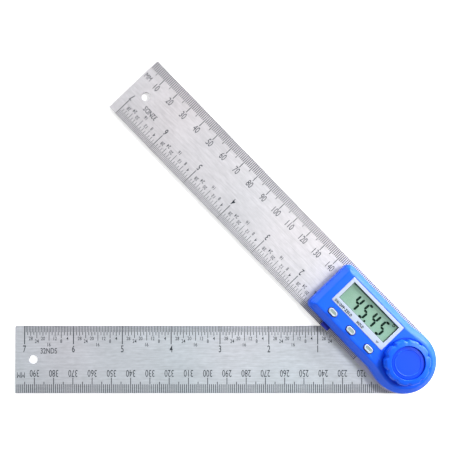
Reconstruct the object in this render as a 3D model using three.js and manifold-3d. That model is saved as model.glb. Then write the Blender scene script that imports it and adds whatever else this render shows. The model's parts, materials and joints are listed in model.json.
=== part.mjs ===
// Digital angle finder: two graduated steel rulers turn on one stud. A display head with a lock
// knob, three buttons and a battery drawer sits on the upper ruler, over the pivot.
// Millimetres, +Z up. The origin is on the turning axis, at the underside of the lower ruler.
// The lower ruler lies along -X. The upper arm has axes of its own, in a group that is turned to
// the opening: -x runs to its free end and +y to its millimetre edge.
import * as THREE from "three";
import { mergeVertices } from "three/addons/utils/BufferGeometryUtils.js";
import Module from "manifold-3d";

const wasm = await Module();
wasm.setup();

// Counts and angles
const roundSegments = 40;
const smallRoundSegments = 24;
const cornerSegments = 4;
const endArcSegments = 28;
const obroundSegments = 6; // in each half round
const knobNotches = 10;
const springWaves = 3;
const springStations = 36;
const hexSides = 6;
const openingDegrees = 46;
const knobNotchPhaseDegrees = 20;

// Fits
const fitGap = 0.3; // round a piece that is pressed in, screwed in or runs in another
const slideGap = 0.2; // under the battery drawer
const restGap = 0.1; // between a button's flange and the shell above it
const overrun = 1; // how far a cut runs past what it cuts

// Rulers
const rulerReach = 200; // pivot to free end
const rulerWidth = 35;
const rulerThickness = 1.2;
const hangingHoleDiameter = 4.5;
const hangingHoleInset = 9.4; // its centre from the free end
const frictionWasherGap = 0.75; // between the friction washer's rim and the near screws' heads
const frictionWasherThickness = 0.3;

// Stud and bush
const studHeadDiameter = 14;
const studHeadThickness = 0.6;
const studShoulderDiameter = 8;
const studNeckDiameter = 6;
const studNeckFlatDepth = 0.6; // one flat, which keys the rotor
const studThreadDiameter = 5;
const bushDiameter = 11;
const bushFlangeDiameter = 15;

// Case of the head
const caseReach = 55.5; // pivot to the far end wall
const caseWidth = 30.2;
const caseRoundDiameter = 33.2; // the end about the pivot
const caseFlareStart = 10; // from the pivot, where the straight sides start to widen
const caseBevelRun = 3.1;
const caseBevelRise = 3;
const caseCornerRadius = 3;
const caseLeastCornerRadius = 0.6;
const caseWall = 1.2; // the top's thickness follows from the display stack
const caseFloor = 1;

// Battery drawer and cell
const cellDiameter = 20;
const cellThickness = 3.2;
const cellEdgeRadius = 0.3;
const drawerRim = 0.9; // beside the cell
const drawerFront = 2.2; // between the case's outer face and the cell's pocket
const drawerFloor = 0.5;
const drawerFloorHoleDiameter = 15;
const drawerDepthPastCentre = 6.6; // how far the side rims run behind the cell's centre
const tabOffset = 1.6; // from the cell's centre towards the far end
const tabWidth = 4.6;
const tabProud = 2.2;
const tabHeight = 2.6;
const contactThickness = 0.25;
const contactStripWidth = 3;
const contactStripLength = 8;
const edgeContactWidth = 5;
const edgeContactHeight = 3.4;

// Circuit board and what it carries
const boardThickness = 1;
const boardClearance = 0.4; // from the drawer's rim to the board
const boardEdgeGap = 0.9; // from the case's inner wall to the board
const boardNearEdge = 9.3; // from the pivot, where the straight part of the board starts
const boardNeckGap = 1.8; // from the near posts to the neck between its straight and round parts
const boardHoleGap = 1; // round the rotor's clip
const ledgeDepthShare = 0.4; // of the room beside the cell, for the shelf that carries the board
const ledgeInset = 2; // from the board's ends to the ledge's ends
const ledgeDrawerGap = 0.9;
const rotorInset = 0.25; // rotor's edge inside the board's round edge
const rotorThickness = 1.2;
const clipDiameter = 9;
const clipThickness = 0.6;
const chipSideShare = 0.43; // of the room between the rotor and the drawer
const chipThickness = 1;
const crystalDiameter = 2;
const crystalLength = 6;
const crystalEdgeInset = 4; // from the board's edge
const solderGap = 0.1;

// Display
const bezelKnobGap = 1.25; // between the knob's rim and the bezel plate
const bezelSideMargin = 0.6; // flat top of the case between the bezel and the side bevel
const bezelFarMargin = 3.9; // and between the bezel and the far bevel
const bezelNearBorder = 1.9;
const bezelFarBorder = 1.9;
const bezelTopBorder = 1.7;
const windowWidthShare = 0.46; // of the case's flat top, across the arm
const bezelBottomShare = 0.31; // of the window's width, for the strip with the button names
const bezelThickness = 0.4;
const lensBorder = 0.8; // lens beyond the window
const lensThickness = 0.7;
const lensTrapGap = 0.2; // between the lens and the bezel plate above it
const glassBorder = 1.3; // display glass beyond the window
const glassThickness = 1.2;
const displayFrameHeight = 0.7;
const displayFrameInset = 0.7; // frame inside the window, at its long sides
const zebraWidth = 1.2;
const zebraEndInset = 1.5;

// Buttons
const buttonPlaceShares = [0.9, 0.5, 0.1]; // of the window's length, from its near end
const buttonRowShare = 0.74; // of half the case's flat top, from the centreline to the row
const buttonLength = 5.1;
const buttonWidth = 2.9;
const buttonProud = 0.8;
const buttonEdge = 0.35;
const buttonFlange = 0.7; // beyond the stem
const buttonFlangeThickness = 0.5;
const buttonTravel = 0.5;
const matThickness = 0.4;
const matWidth = 4.6;
const domeInset = 0.5;

// Case screws
const screwDiameter = 2;
const screwHeadDiameter = 3.8;
const screwHeadHeight = 0.9;
const screwLength = 7.5;
const screwCrossLength = 2.2;
const screwCrossWidth = 0.5;
const screwCrossDepth = 0.5;
const postDiameter = 3.6;
const postWallGap = 0.5; // between a post of the front shell and the base shell's wall

// Knob, its spring and washer
const knobDiameter = 22.9;
const knobHeight = 5.7;
const knobTopGap = 0.3; // between the case and the knob
const knobBottomEdge = 0.4;
const knobCrownWidth = 1.6; // the rounded outer edge
const knobCrownHeight = 1.3;
// Points of the rounded outer edge, as shares of its width and height inwards and downwards
const knobCrownShares = [
  [0.15, 0.55],
  [0.5, 0.15],
];
const knobLipWidth = 0.5; // the slope into the recess
const knobLipHeight = 0.25;
const knobRecessDiameter = 16.9;
const knobRecessDepth = 1.2;
const knobCapThickness = 0.8;
const knobCapRingDiameter = 13.6;
const knobCapRingWidth = 0.5;
const knobCapRingHeight = 0.15;
const knobNotchRadius = 1.5;
const knobNotchDepth = 1;
const knobFloor = 0.4; // under the nut
const nutAcrossFlats = 8;
const studTopGap = 0.6; // between the stud's end and the knob cap
const hubWall = 1; // of the front shell, round the thrust washer's pocket
const hubBoardGap = 0.6;
const thrustWasherDiameter = 14.4;
const thrustWasherThickness = 0.6;
const springThickness = 0.3;
const springWaveHeight = 0.1; // each way
const springInnerDiameter = 7.4;
const springInset = 0.4; // spring's outer edge inside the washer's

// Heights, from the underside of the lower ruler up
const washerBase = rulerThickness;
const upperRulerBase = washerBase + frictionWasherThickness;
const caseBase = upperRulerBase + rulerThickness;
const floorTop = caseBase + caseFloor;
const drawerBase = floorTop + slideGap;
const cellBase = drawerBase + drawerFloor;
const drawerTop = cellBase + cellThickness;
const boardBase = drawerTop + boardClearance;
const boardTop = boardBase + boardThickness;
const rotorBase = boardBase - fitGap - rotorThickness;
const clipBase = rotorBase + rotorThickness;
const glassBase = boardTop + displayFrameHeight;
const lensBase = glassBase + glassThickness;
const lensTop = lensBase + lensThickness;
const bezelBase = lensTop + lensTrapGap;
const caseTop = bezelBase + bezelThickness;
const caseCeiling = lensBase + restGap;
const bevelBase = caseTop - caseBevelRise;
const flangeTop = caseCeiling - restGap;
const flangeBase = flangeTop - buttonFlangeThickness;
const domeTop = flangeBase - buttonTravel - restGap;
const hubBase = boardTop + hubBoardGap;
const knobBase = caseTop + knobTopGap;
const thrustWasherBase = knobBase - thrustWasherThickness;
const pocketBase = thrustWasherBase - springThickness - 2 * springWaveHeight;
const knobTop = knobBase + knobHeight;
const nutBase = knobBase + knobFloor;
const capBase = knobTop - knobRecessDepth - knobCapThickness;
const nutTop = capBase - restGap;
const studTop = capBase - studTopGap;

// Places along the arm, from the pivot, and across it, from the centreline
const caseHalf = caseWidth / 2;
const innerHalf = caseHalf - caseWall;
const postAcross = innerHalf - postWallGap - postDiameter / 2;
const farPostAlong = caseReach - caseWall - postWallGap - postDiameter / 2;
const nearPostAlong = boardNearEdge - fitGap - postDiameter / 2;
const boardFarEdge = farPostAlong - postDiameter / 2 - fitGap;
const windowFar = caseReach - caseBevelRun - bezelFarMargin - bezelFarBorder;
const windowNear = knobDiameter / 2 + bezelKnobGap + bezelNearBorder;
const windowLength = windowFar - windowNear;
const flatHalf = caseHalf - caseBevelRun;
const windowWidth = 2 * flatHalf * windowWidthShare;
const windowTop = flatHalf - bezelSideMargin - bezelTopBorder;
const windowBottom = windowTop - windowWidth;
const bezelBottomBorder = windowWidth * bezelBottomShare;
const buttonRow = -flatHalf * buttonRowShare;
const drawerHalfLength = cellDiameter / 2 + fitGap + drawerRim;
const drawerCentre = farPostAlong - postDiameter / 2 - fitGap - drawerHalfLength;
const cellAcross = -caseHalf + drawerFront + fitGap + cellDiameter / 2;
const tabCentre = drawerCentre + tabOffset;
const contactAcross = cellAcross + cellDiameter / 2 + fitGap;
const ledgeDepth = (innerHalf - contactAcross - contactThickness) * ledgeDepthShare;
const boardHalf = innerHalf - boardEdgeGap;

// Diameters that follow from what they clear
const postReach = Math.hypot(nearPostAlong, postAcross) - postDiameter / 2;
const boardRoundDiameter = 2 * (postReach - fitGap);
const rotorDiameter = boardRoundDiameter - 2 * rotorInset;
const boardHoleDiameter = clipDiameter + 2 * boardHoleGap;
const hubDiameter = thrustWasherDiameter + 2 * (fitGap + hubWall);
const springOuterDiameter = thrustWasherDiameter - 2 * springInset;
const nearScrewReach = Math.hypot(nearPostAlong, postAcross) - screwHeadDiameter / 2;
const frictionWasherDiameter = 2 * (nearScrewReach - frictionWasherGap);

// The display's parts, as boxes from the window's edges: near and far along the arm, low and high
// across it.
const displayBox = (border) => ({
  near: windowNear - border,
  far: windowFar + border,
  low: windowBottom - border,
  high: windowTop + border,
});
const bezelBox = {
  near: windowNear - bezelNearBorder,
  far: windowFar + bezelFarBorder,
  low: windowBottom - bezelBottomBorder,
  high: windowTop + bezelTopBorder,
};
const lensBox = displayBox(lensBorder);
const glassBox = displayBox(glassBorder);
const grown = (box, by) => ({
  near: box.near - by,
  far: box.far + by,
  low: box.low - by,
  high: box.high + by,
});

// The drawer's box, from the case's outer face inwards
const drawerBox = {
  near: drawerCentre - drawerHalfLength,
  far: drawerCentre + drawerHalfLength,
  low: -caseHalf,
  high: cellAcross + drawerDepthPastCentre,
};

// The controller chip, halfway between the rotor and the drawer
const chipRoom = drawerBox.near - rotorDiameter / 2;
const chipSide = chipRoom * chipSideShare;
const chipCentre = (drawerBox.near + rotorDiameter / 2) / 2;

// Colours and surfaces
const finish = (color, roughness, metalness) =>
  new THREE.MeshStandardMaterial({ color, roughness, metalness });
const steel = () => finish(0xc9ccd0, 0.35, 1);
const bluePlastic = () => finish(0x1f5bf0, 0.45, 0);
const brass = () => finish(0xc9a24a, 0.35, 1);
const rubber = () => finish(0x3a3c40, 0.85, 0);

// Geometry to a solid for cutting and joining, with collapsed triangles dropped
function solidOf(geometry) {
  geometry.deleteAttribute("normal");
  geometry.deleteAttribute("uv");
  const merged = mergeVertices(geometry);
  const corners = merged.index.array;
  const kept = [];
  for (let i = 0; i < corners.length; i += 3) {
    const [a, b, c] = corners.slice(i, i + 3);
    if (a !== b && b !== c && c !== a) {
      kept.push(a, b, c);
    }
  }
  return new wasm.Manifold(
    new wasm.Mesh({
      numProp: 3,
      vertProperties: merged.attributes.position.array,
      triVerts: new Uint32Array(kept),
    }),
  );
}

// A solid back to geometry
function geometryOf(solid) {
  const mesh = solid.getMesh();
  const positions = new Float32Array(mesh.numVert * 3);
  for (let i = 0; i < mesh.numVert; i++) {
    const start = i * mesh.numProp;
    positions.set(mesh.vertProperties.subarray(start, start + 3), i * 3);
  }
  const geometry = new THREE.BufferGeometry();
  geometry.setAttribute("position", new THREE.BufferAttribute(positions, 3));
  geometry.setIndex(new THREE.BufferAttribute(mesh.triVerts, 1));
  geometry.computeVertexNormals();
  return geometry;
}

// A round piece about the Z axis, from a profile of [radius, height] corners that runs outwards
// along the bottom, up, and back to the axis or to its own start
function turned(profile, segments = roundSegments) {
  const points = profile.map(([r, z]) => new THREE.Vector2(r, z));
  points.push(points[0].clone());
  const lathe = new THREE.LatheGeometry(points, segments);
  return solidOf(lathe.rotateX(Math.PI / 2));
}

function disc(diameter, low, high, segments = roundSegments) {
  const r = diameter / 2;
  return turned([[0, low], [r, low], [r, high], [0, high]], segments);
}

function ring(inner, outer, low, high, segments = roundSegments) {
  const a = inner / 2;
  const b = outer / 2;
  return turned([[a, low], [b, low], [b, high], [a, high]], segments);
}

// A round piece or hole at a place on the arm: along it from the pivot, and across it
function discAt(along, across, diameter, low, high, segments = smallRoundSegments) {
  const round = new THREE.CylinderGeometry(diameter / 2, diameter / 2, high - low, segments);
  round.rotateX(Math.PI / 2);
  round.translate(-along, across, (low + high) / 2);
  return solidOf(round);
}

// A straight block over a box on the arm, between two heights
function block({ near, far, low, high }, base, top) {
  const box = new THREE.BoxGeometry(far - near, high - low, top - base);
  box.translate(-(near + far) / 2, (low + high) / 2, (base + top) / 2);
  return solidOf(box);
}

function prism(shape, low, high) {
  const extruded = new THREE.ExtrudeGeometry(shape, {
    depth: high - low,
    bevelEnabled: false,
    curveSegments: endArcSegments,
  });
  return solidOf(extruded.translate(0, 0, low));
}

// A solid through rings of equally many points, each at its height
function loft(rings) {
  const count = rings[0].points.length;
  const positions = [];
  const faces = [];
  for (const { points, height } of rings) {
    for (const p of points) {
      positions.push(p.x, p.y, height);
    }
  }
  for (let level = 0; level + 1 < rings.length; level++) {
    for (let i = 0; i < count; i++) {
      const a = level * count + i;
      const b = level * count + ((i + 1) % count);
      faces.push(a, b, b + count, a, b + count, a + count);
    }
  }
  const last = (rings.length - 1) * count;
  for (const [a, b, c] of THREE.ShapeUtils.triangulateShape(rings[0].points, [])) {
    faces.push(c, b, a);
  }
  for (const [a, b, c] of THREE.ShapeUtils.triangulateShape(rings.at(-1).points, [])) {
    faces.push(last + a, last + b, last + c);
  }
  const geometry = new THREE.BufferGeometry();
  geometry.setAttribute("position", new THREE.Float32BufferAttribute(positions, 3));
  geometry.setIndex(faces);
  return solidOf(geometry);
}

// Points on an arc, both ends included
function arcPoints(x, y, radius, from, to, segments) {
  const points = [];
  for (let i = 0; i <= segments; i++) {
    const angle = from + ((to - from) * i) / segments;
    points.push(new THREE.Vector2(x + radius * Math.cos(angle), y + radius * Math.sin(angle)));
  }
  return points;
}

// The head's outline from above, drawn in by an inset. It runs anticlockwise: round the pivot end,
// and back along the far end with its two rounded corners.
function caseOutline(inset) {
  const half = caseHalf - inset;
  const round = caseRoundDiameter / 2 - inset;
  const corner = Math.max(caseCornerRadius - inset, caseLeastCornerRadius);
  const farX = -(caseReach - inset) + corner;
  const farY = half - corner;
  const flareLength = Math.hypot(caseFlareStart, half);
  const flareAngle = Math.atan2(half, -caseFlareStart);
  const tangent = flareAngle - Math.acos(Math.min(1, round / flareLength));
  return [
    new THREE.Vector2(-caseFlareStart, -half),
    ...arcPoints(0, 0, round, -tangent, tangent, endArcSegments),
    new THREE.Vector2(-caseFlareStart, half),
    ...arcPoints(farX, farY, corner, Math.PI / 2, Math.PI, cornerSegments),
    ...arcPoints(farX, -farY, corner, Math.PI, (Math.PI * 3) / 2, cornerSegments),
  ];
}

// An obround outline, long way along the arm
function obroundOutline(along, across, length, width) {
  const radius = width / 2;
  const reach = length / 2 - radius;
  const quarter = Math.PI / 2;
  return [
    ...arcPoints(-along + reach, across, radius, -quarter, quarter, obroundSegments),
    ...arcPoints(-along - reach, across, radius, quarter, 3 * quarter, obroundSegments),
  ];
}

// Repeated places
const buttonPlaces = buttonPlaceShares.map((share) => windowNear + share * windowLength);
const screwPlaces = [farPostAlong, nearPostAlong].flatMap((along) => [
  [along, postAcross],
  [along, -postAcross],
]);

// Pieces go into groups: the lower arm lies along the part's own axes, and the upper arm is turned.
const angleFinder = new THREE.Group();
const lowerArm = new THREE.Group();
const upperArm = new THREE.Group();
upperArm.rotation.z = THREE.MathUtils.degToRad(-openingDegrees);
angleFinder.add(lowerArm, upperArm);

function place(group, name, solid, material) {
  const mesh = new THREE.Mesh(geometryOf(solid), material);
  mesh.name = name;
  group.add(mesh);
}

// A ruler blank with its rounded pivot end and hanging hole
function rulerBlank(base) {
  const half = rulerWidth / 2;
  const shape = new THREE.Shape();
  shape.moveTo(-rulerReach, -half);
  shape.lineTo(0, -half);
  shape.absarc(0, 0, half, -Math.PI / 2, Math.PI / 2, false);
  shape.lineTo(-rulerReach, half);
  shape.closePath();
  const top = base + rulerThickness;
  const hole = discAt(
    rulerReach - hangingHoleInset, 0, hangingHoleDiameter, base - overrun, top + overrun,
  );
  return prism(shape, base, top).subtract(hole);
}

// Lower ruler: its pivot hole is counterbored from below for the stud's head
function lowerRuler() {
  const bore = disc(studShoulderDiameter + 2 * fitGap, -overrun, rulerThickness + overrun);
  const counterbore = disc(studHeadDiameter + 2 * fitGap, -overrun, studHeadThickness);
  return rulerBlank(0).subtract(bore).subtract(counterbore);
}

// Upper ruler: bored for the bush and countersunk from below for the case screws
function upperRuler() {
  let ruler = rulerBlank(upperRulerBase).subtract(
    disc(bushDiameter + 2 * fitGap, upperRulerBase - overrun, caseBase + overrun),
  );
  for (const [along, across] of screwPlaces) {
    ruler = ruler.subtract(screwShape(along, across, fitGap, overrun));
  }
  return ruler;
}

// A countersunk screw's outline, grown all round by a gap and lengthened at its head by an extra
function screwShape(along, across, gap, extra) {
  const shank = screwDiameter / 2 + gap;
  const head = screwHeadDiameter / 2 + gap;
  const base = upperRulerBase;
  const profile = [
    [0, base - extra],
    [head, base - extra],
    [head, base],
    [shank, base + screwHeadHeight],
    [shank, base + screwLength + gap],
    [0, base + screwLength + gap],
  ];
  const points = profile.map(([r, z]) => new THREE.Vector2(r, z));
  const lathe = new THREE.LatheGeometry(points, smallRoundSegments);
  lathe.rotateX(Math.PI / 2);
  return solidOf(lathe.translate(-along, across, 0));
}

// Case screw with a cross recess in its head
function caseScrew(along, across) {
  let screw = screwShape(along, across, 0, 0);
  const base = upperRulerBase;
  for (const [length, width] of [
    [screwCrossLength, screwCrossWidth],
    [screwCrossWidth, screwCrossLength],
  ]) {
    const slot = {
      near: along - length / 2,
      far: along + length / 2,
      low: across - width / 2,
      high: across + width / 2,
    };
    screw = screw.subtract(block(slot, base - overrun, base + screwCrossDepth));
  }
  return screw;
}

// Stud: flush head, shoulder for the bush, keyed neck for the rotor, threaded end for the knob
function pivotStud() {
  const body = turned([
    [0, 0],
    [studHeadDiameter / 2, 0],
    [studHeadDiameter / 2, studHeadThickness],
    [studShoulderDiameter / 2, studHeadThickness],
    [studShoulderDiameter / 2, rotorBase],
    [studNeckDiameter / 2, rotorBase],
    [studNeckDiameter / 2, boardTop],
    [studThreadDiameter / 2, boardTop],
    [studThreadDiameter / 2, studTop],
    [0, studTop],
  ]);
  const flat = block(
    {
      near: studNeckDiameter / 2 - studNeckFlatDepth,
      far: studNeckDiameter + overrun,
      low: -studNeckDiameter,
      high: studNeckDiameter,
    },
    rotorBase,
    boardTop + overrun,
  );
  return body.subtract(flat);
}

// Rotor of the angle sensor, with the flat that keys it to the stud's neck
function rotorDisc() {
  const top = rotorBase + rotorThickness;
  const neck = disc(studNeckDiameter + 2 * fitGap, rotorBase - overrun, top + overrun);
  const beyondFlat = block(
    {
      near: studNeckDiameter / 2 - studNeckFlatDepth + fitGap,
      far: studNeckDiameter + overrun,
      low: -studNeckDiameter,
      high: studNeckDiameter,
    },
    rotorBase - 2 * overrun,
    top + 2 * overrun,
  );
  return disc(rotorDiameter, rotorBase, top).subtract(neck.subtract(beyondFlat));
}

// Flanged bush: its body sits in the upper ruler and its flange in the case floor
function pivotBush() {
  const bore = studShoulderDiameter / 2 + fitGap;
  return turned([
    [bore, upperRulerBase],
    [bushDiameter / 2, upperRulerBase],
    [bushDiameter / 2, caseBase],
    [bushFlangeDiameter / 2, caseBase],
    [bushFlangeDiameter / 2, floorTop],
    [bore, floorTop],
  ]);
}

// Base shell: floor and low walls, notched for the drawer, with shelves for the board
function baseShell() {
  const outer = loft([
    { points: caseOutline(0), height: caseBase },
    { points: caseOutline(0), height: boardBase },
  ]);
  const inside = loft([
    { points: caseOutline(caseWall), height: floorTop },
    { points: caseOutline(caseWall), height: boardBase + overrun },
  ]);
  let shell = outer.subtract(inside);
  const longLedge = {
    near: boardNearEdge + ledgeInset,
    far: boardFarEdge - ledgeInset,
    low: innerHalf - ledgeDepth,
    high: innerHalf + caseWall / 2,
  };
  const shortLedge = {
    near: boardNearEdge + ledgeInset,
    far: drawerBox.near - ledgeDrawerGap,
    low: -innerHalf - caseWall / 2,
    high: -innerHalf + ledgeDepth,
  };
  const ledgeBase = floorTop - caseFloor / 2;
  shell = shell.add(block(longLedge, ledgeBase, boardBase));
  shell = shell.add(block(shortLedge, ledgeBase, boardBase));
  const notch = {
    near: drawerBox.near - fitGap,
    far: drawerBox.far + fitGap,
    low: -caseHalf - overrun,
    high: -innerHalf + caseWall / 2,
  };
  shell = shell.subtract(block(notch, floorTop, boardBase + overrun));
  shell = shell.subtract(
    disc(bushFlangeDiameter + 2 * fitGap, caseBase - overrun, floorTop + overrun),
  );
  for (const [along, across] of screwPlaces) {
    const bore = screwDiameter + 2 * fitGap;
    shell = shell.subtract(
      discAt(along, across, bore, caseBase - overrun, floorTop + overrun),
    );
  }
  return shell;
}

// Front shell: bevelled cover with the display opening, the bezel's pocket, button holes, a thick
// hub under the knob and the four screw posts
function frontShell() {
  const slope = Math.atan2(caseBevelRise, caseBevelRun);
  const cornerShift = caseWall * Math.tan(slope / 2);
  const outer = loft([
    { points: caseOutline(0), height: boardBase },
    { points: caseOutline(0), height: bevelBase },
    { points: caseOutline(caseBevelRun), height: caseTop },
  ]);
  const ceilingRise = caseCeiling - bevelBase + cornerShift;
  const ceilingInset = caseWall + (ceilingRise * caseBevelRun) / caseBevelRise;
  const inside = loft([
    { points: caseOutline(caseWall), height: boardBase - overrun },
    { points: caseOutline(caseWall), height: bevelBase - cornerShift },
    { points: caseOutline(ceilingInset), height: caseCeiling },
  ]);
  let shell = outer.subtract(inside);
  shell = shell.add(disc(hubDiameter, hubBase, caseTop - bezelThickness));
  const full = loft([
    { points: caseOutline(0), height: floorTop },
    { points: caseOutline(0), height: bevelBase },
    { points: caseOutline(caseBevelRun), height: caseTop },
  ]);
  for (const [along, across] of screwPlaces) {
    const post = discAt(along, across, postDiameter, floorTop, caseTop - bezelThickness);
    shell = shell.add(post.intersect(full));
    shell = shell.subtract(screwShape(along, across, fitGap, overrun));
  }
  shell = shell.subtract(block(grown(bezelBox, fitGap), bezelBase, caseTop + overrun));
  shell = shell.subtract(block(grown(lensBox, fitGap), caseCeiling - overrun, caseTop));
  for (const along of buttonPlaces) {
    const hole = obroundOutline(
      along, buttonRow, buttonLength + 2 * fitGap, buttonWidth + 2 * fitGap,
    );
    shell = shell.subtract(
      loft([
        { points: hole, height: caseCeiling - overrun },
        { points: hole, height: caseTop + overrun },
      ]),
    );
  }
  shell = shell.subtract(disc(studThreadDiameter + 2 * fitGap, hubBase - overrun, caseTop));
  return shell.subtract(
    disc(thrustWasherDiameter + 2 * fitGap, pocketBase, caseTop + overrun),
  );
}

function bezelPlate() {
  const window = { near: windowNear, far: windowFar, low: windowBottom, high: windowTop };
  return block(bezelBox, bezelBase, caseTop).subtract(
    block(window, bezelBase - overrun, caseTop + overrun),
  );
}

// Circuit board: a straight part under the display and a round part about the stud
function circuitBoard() {
  const neckHalf = postAcross - postDiameter / 2 - boardNeckGap;
  const straight = { near: boardNearEdge, far: boardFarEdge, low: -boardHalf, high: boardHalf };
  const neck = { near: 0, far: boardNearEdge + overrun, low: -neckHalf, high: neckHalf };
  return block(straight, boardBase, boardTop)
    .add(disc(boardRoundDiameter, boardBase, boardTop))
    .add(block(neck, boardBase, boardTop))
    .subtract(disc(boardHoleDiameter, boardBase - overrun, boardTop + overrun));
}

function controllerChip() {
  const half = chipSide / 2;
  const body = { near: chipCentre - half, far: chipCentre + half, low: -half, high: half };
  return block(body, boardBase - chipThickness, boardBase);
}

function timingCrystal() {
  const can = new THREE.CylinderGeometry(
    crystalDiameter / 2, crystalDiameter / 2, crystalLength, smallRoundSegments,
  );
  const across = boardHalf - crystalEdgeInset - crystalDiameter / 2;
  can.rotateZ(Math.PI / 2);
  can.translate(-chipCentre, across, boardBase - crystalDiameter / 2 - solderGap);
  return solidOf(can);
}

// Frame under the display glass, between the two rubber strips
function displayFrame() {
  const box = {
    near: windowNear,
    far: windowFar,
    low: windowBottom + displayFrameInset,
    high: windowTop - displayFrameInset,
  };
  return block(box, boardTop, glassBase);
}

function zebraStrip(low) {
  const box = {
    near: windowNear + zebraEndInset,
    far: windowFar - zebraEndInset,
    low,
    high: low + zebraWidth,
  };
  return block(box, boardTop, glassBase);
}

// Rubber mat with a dome under each button
function keypadMat() {
  const matEnd = buttonLength / 2 + buttonFlange;
  const sheet = {
    near: buttonPlaces.at(-1) - matEnd,
    far: buttonPlaces[0] + matEnd,
    low: buttonRow - matWidth / 2,
    high: buttonRow + matWidth / 2,
  };
  let mat = block(sheet, boardTop, boardTop + matThickness);
  for (const along of buttonPlaces) {
    const foot = obroundOutline(along, buttonRow, buttonLength, buttonWidth);
    const crown = obroundOutline(
      along, buttonRow, buttonLength - 2 * domeInset, buttonWidth - 2 * domeInset,
    );
    mat = mat.add(
      loft([
        { points: foot, height: boardTop + matThickness / 2 },
        { points: foot, height: boardTop + matThickness },
        { points: crown, height: domeTop },
      ]),
    );
  }
  return mat;
}

// Button: a stem through the shell, rounded at the top, with a flange that keeps it in
function buttonCap(along) {
  const flange = obroundOutline(
    along, buttonRow, buttonLength + 2 * buttonFlange, buttonWidth + 2 * buttonFlange,
  );
  const stem = obroundOutline(along, buttonRow, buttonLength, buttonWidth);
  const crown = obroundOutline(
    along, buttonRow, buttonLength - 2 * buttonEdge, buttonWidth - 2 * buttonEdge,
  );
  const top = caseTop + buttonProud;
  const foot = loft([
    { points: flange, height: flangeBase },
    { points: flange, height: flangeTop },
  ]);
  return foot.add(
    loft([
      { points: stem, height: flangeBase + buttonFlangeThickness / 2 },
      { points: stem, height: top - buttonEdge },
      { points: crown, height: top },
    ]),
  );
}

// Battery drawer: a front wall flush with the case, a pocket for the cell that is open behind,
// and a pull tab
function batteryDrawer() {
  const pocket = discAt(
    drawerCentre, cellAcross, cellDiameter + 2 * fitGap, cellBase, drawerTop + overrun, roundSegments,
  );
  const floorHole = discAt(
    drawerCentre, cellAcross, drawerFloorHoleDiameter, drawerBase - overrun, drawerTop, roundSegments,
  );
  const tab = {
    near: tabCentre - tabWidth / 2,
    far: tabCentre + tabWidth / 2,
    low: -caseHalf - tabProud,
    high: -caseHalf + drawerFront / 2,
  };
  const middle = (drawerBase + drawerTop) / 2;
  return block(drawerBox, drawerBase, drawerTop)
    .subtract(pocket)
    .subtract(floorHole)
    .add(block(tab, middle - tabHeight / 2, middle + tabHeight / 2));
}

function coinCell() {
  const r = cellDiameter / 2;
  const inner = r - cellEdgeRadius;
  const lathe = new THREE.LatheGeometry(
    [
      [0, cellBase],
      [inner, cellBase],
      [r, cellBase + cellEdgeRadius],
      [r, drawerTop - cellEdgeRadius],
      [inner, drawerTop],
      [0, drawerTop],
    ].map(([x, z]) => new THREE.Vector2(x, z)),
    roundSegments,
  );
  lathe.rotateX(Math.PI / 2);
  return solidOf(lathe.translate(-drawerCentre, cellAcross, 0));
}

// Contact strips, both under the board: one over the cell's face and one beside its edge
function faceContact() {
  const box = {
    near: drawerCentre - contactStripLength / 2,
    far: drawerCentre + contactStripLength / 2,
    low: cellAcross - contactStripWidth / 2,
    high: cellAcross + contactStripWidth / 2,
  };
  return block(box, boardBase - contactThickness, boardBase);
}

function edgeContact() {
  const box = {
    near: drawerCentre - edgeContactWidth / 2,
    far: drawerCentre + edgeContactWidth / 2,
    low: contactAcross,
    high: contactAcross + contactThickness,
  };
  return block(box, boardBase - edgeContactHeight, boardBase);
}

// Wave spring: a flat ring that rises and falls round its circle
function waveSpring() {
  const middle = pocketBase + springWaveHeight;
  const positions = [];
  const faces = [];
  for (let i = 0; i < springStations; i++) {
    const angle = (i / springStations) * 2 * Math.PI;
    const low = middle + springWaveHeight * Math.sin(springWaves * angle);
    const corners = [
      [springInnerDiameter / 2, low],
      [springOuterDiameter / 2, low],
      [springOuterDiameter / 2, low + springThickness],
      [springInnerDiameter / 2, low + springThickness],
    ];
    for (const [r, z] of corners) {
      positions.push(r * Math.cos(angle), r * Math.sin(angle), z);
    }
    const here = i * corners.length;
    const next = ((i + 1) % springStations) * corners.length;
    for (let k = 0; k < corners.length; k++) {
      const after = (k + 1) % corners.length;
      faces.push(here + k, here + after, next + after, here + k, next + after, next + k);
    }
  }
  const geometry = new THREE.BufferGeometry();
  geometry.setAttribute("position", new THREE.Float32BufferAttribute(positions, 3));
  geometry.setIndex(faces.reverse());
  return solidOf(geometry);
}

// A hexagonal prism about the Z axis
function hexPrism(acrossFlats, low, high) {
  const diameter = acrossFlats / Math.cos(Math.PI / hexSides);
  return disc(diameter, low, high, hexSides);
}

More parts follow.
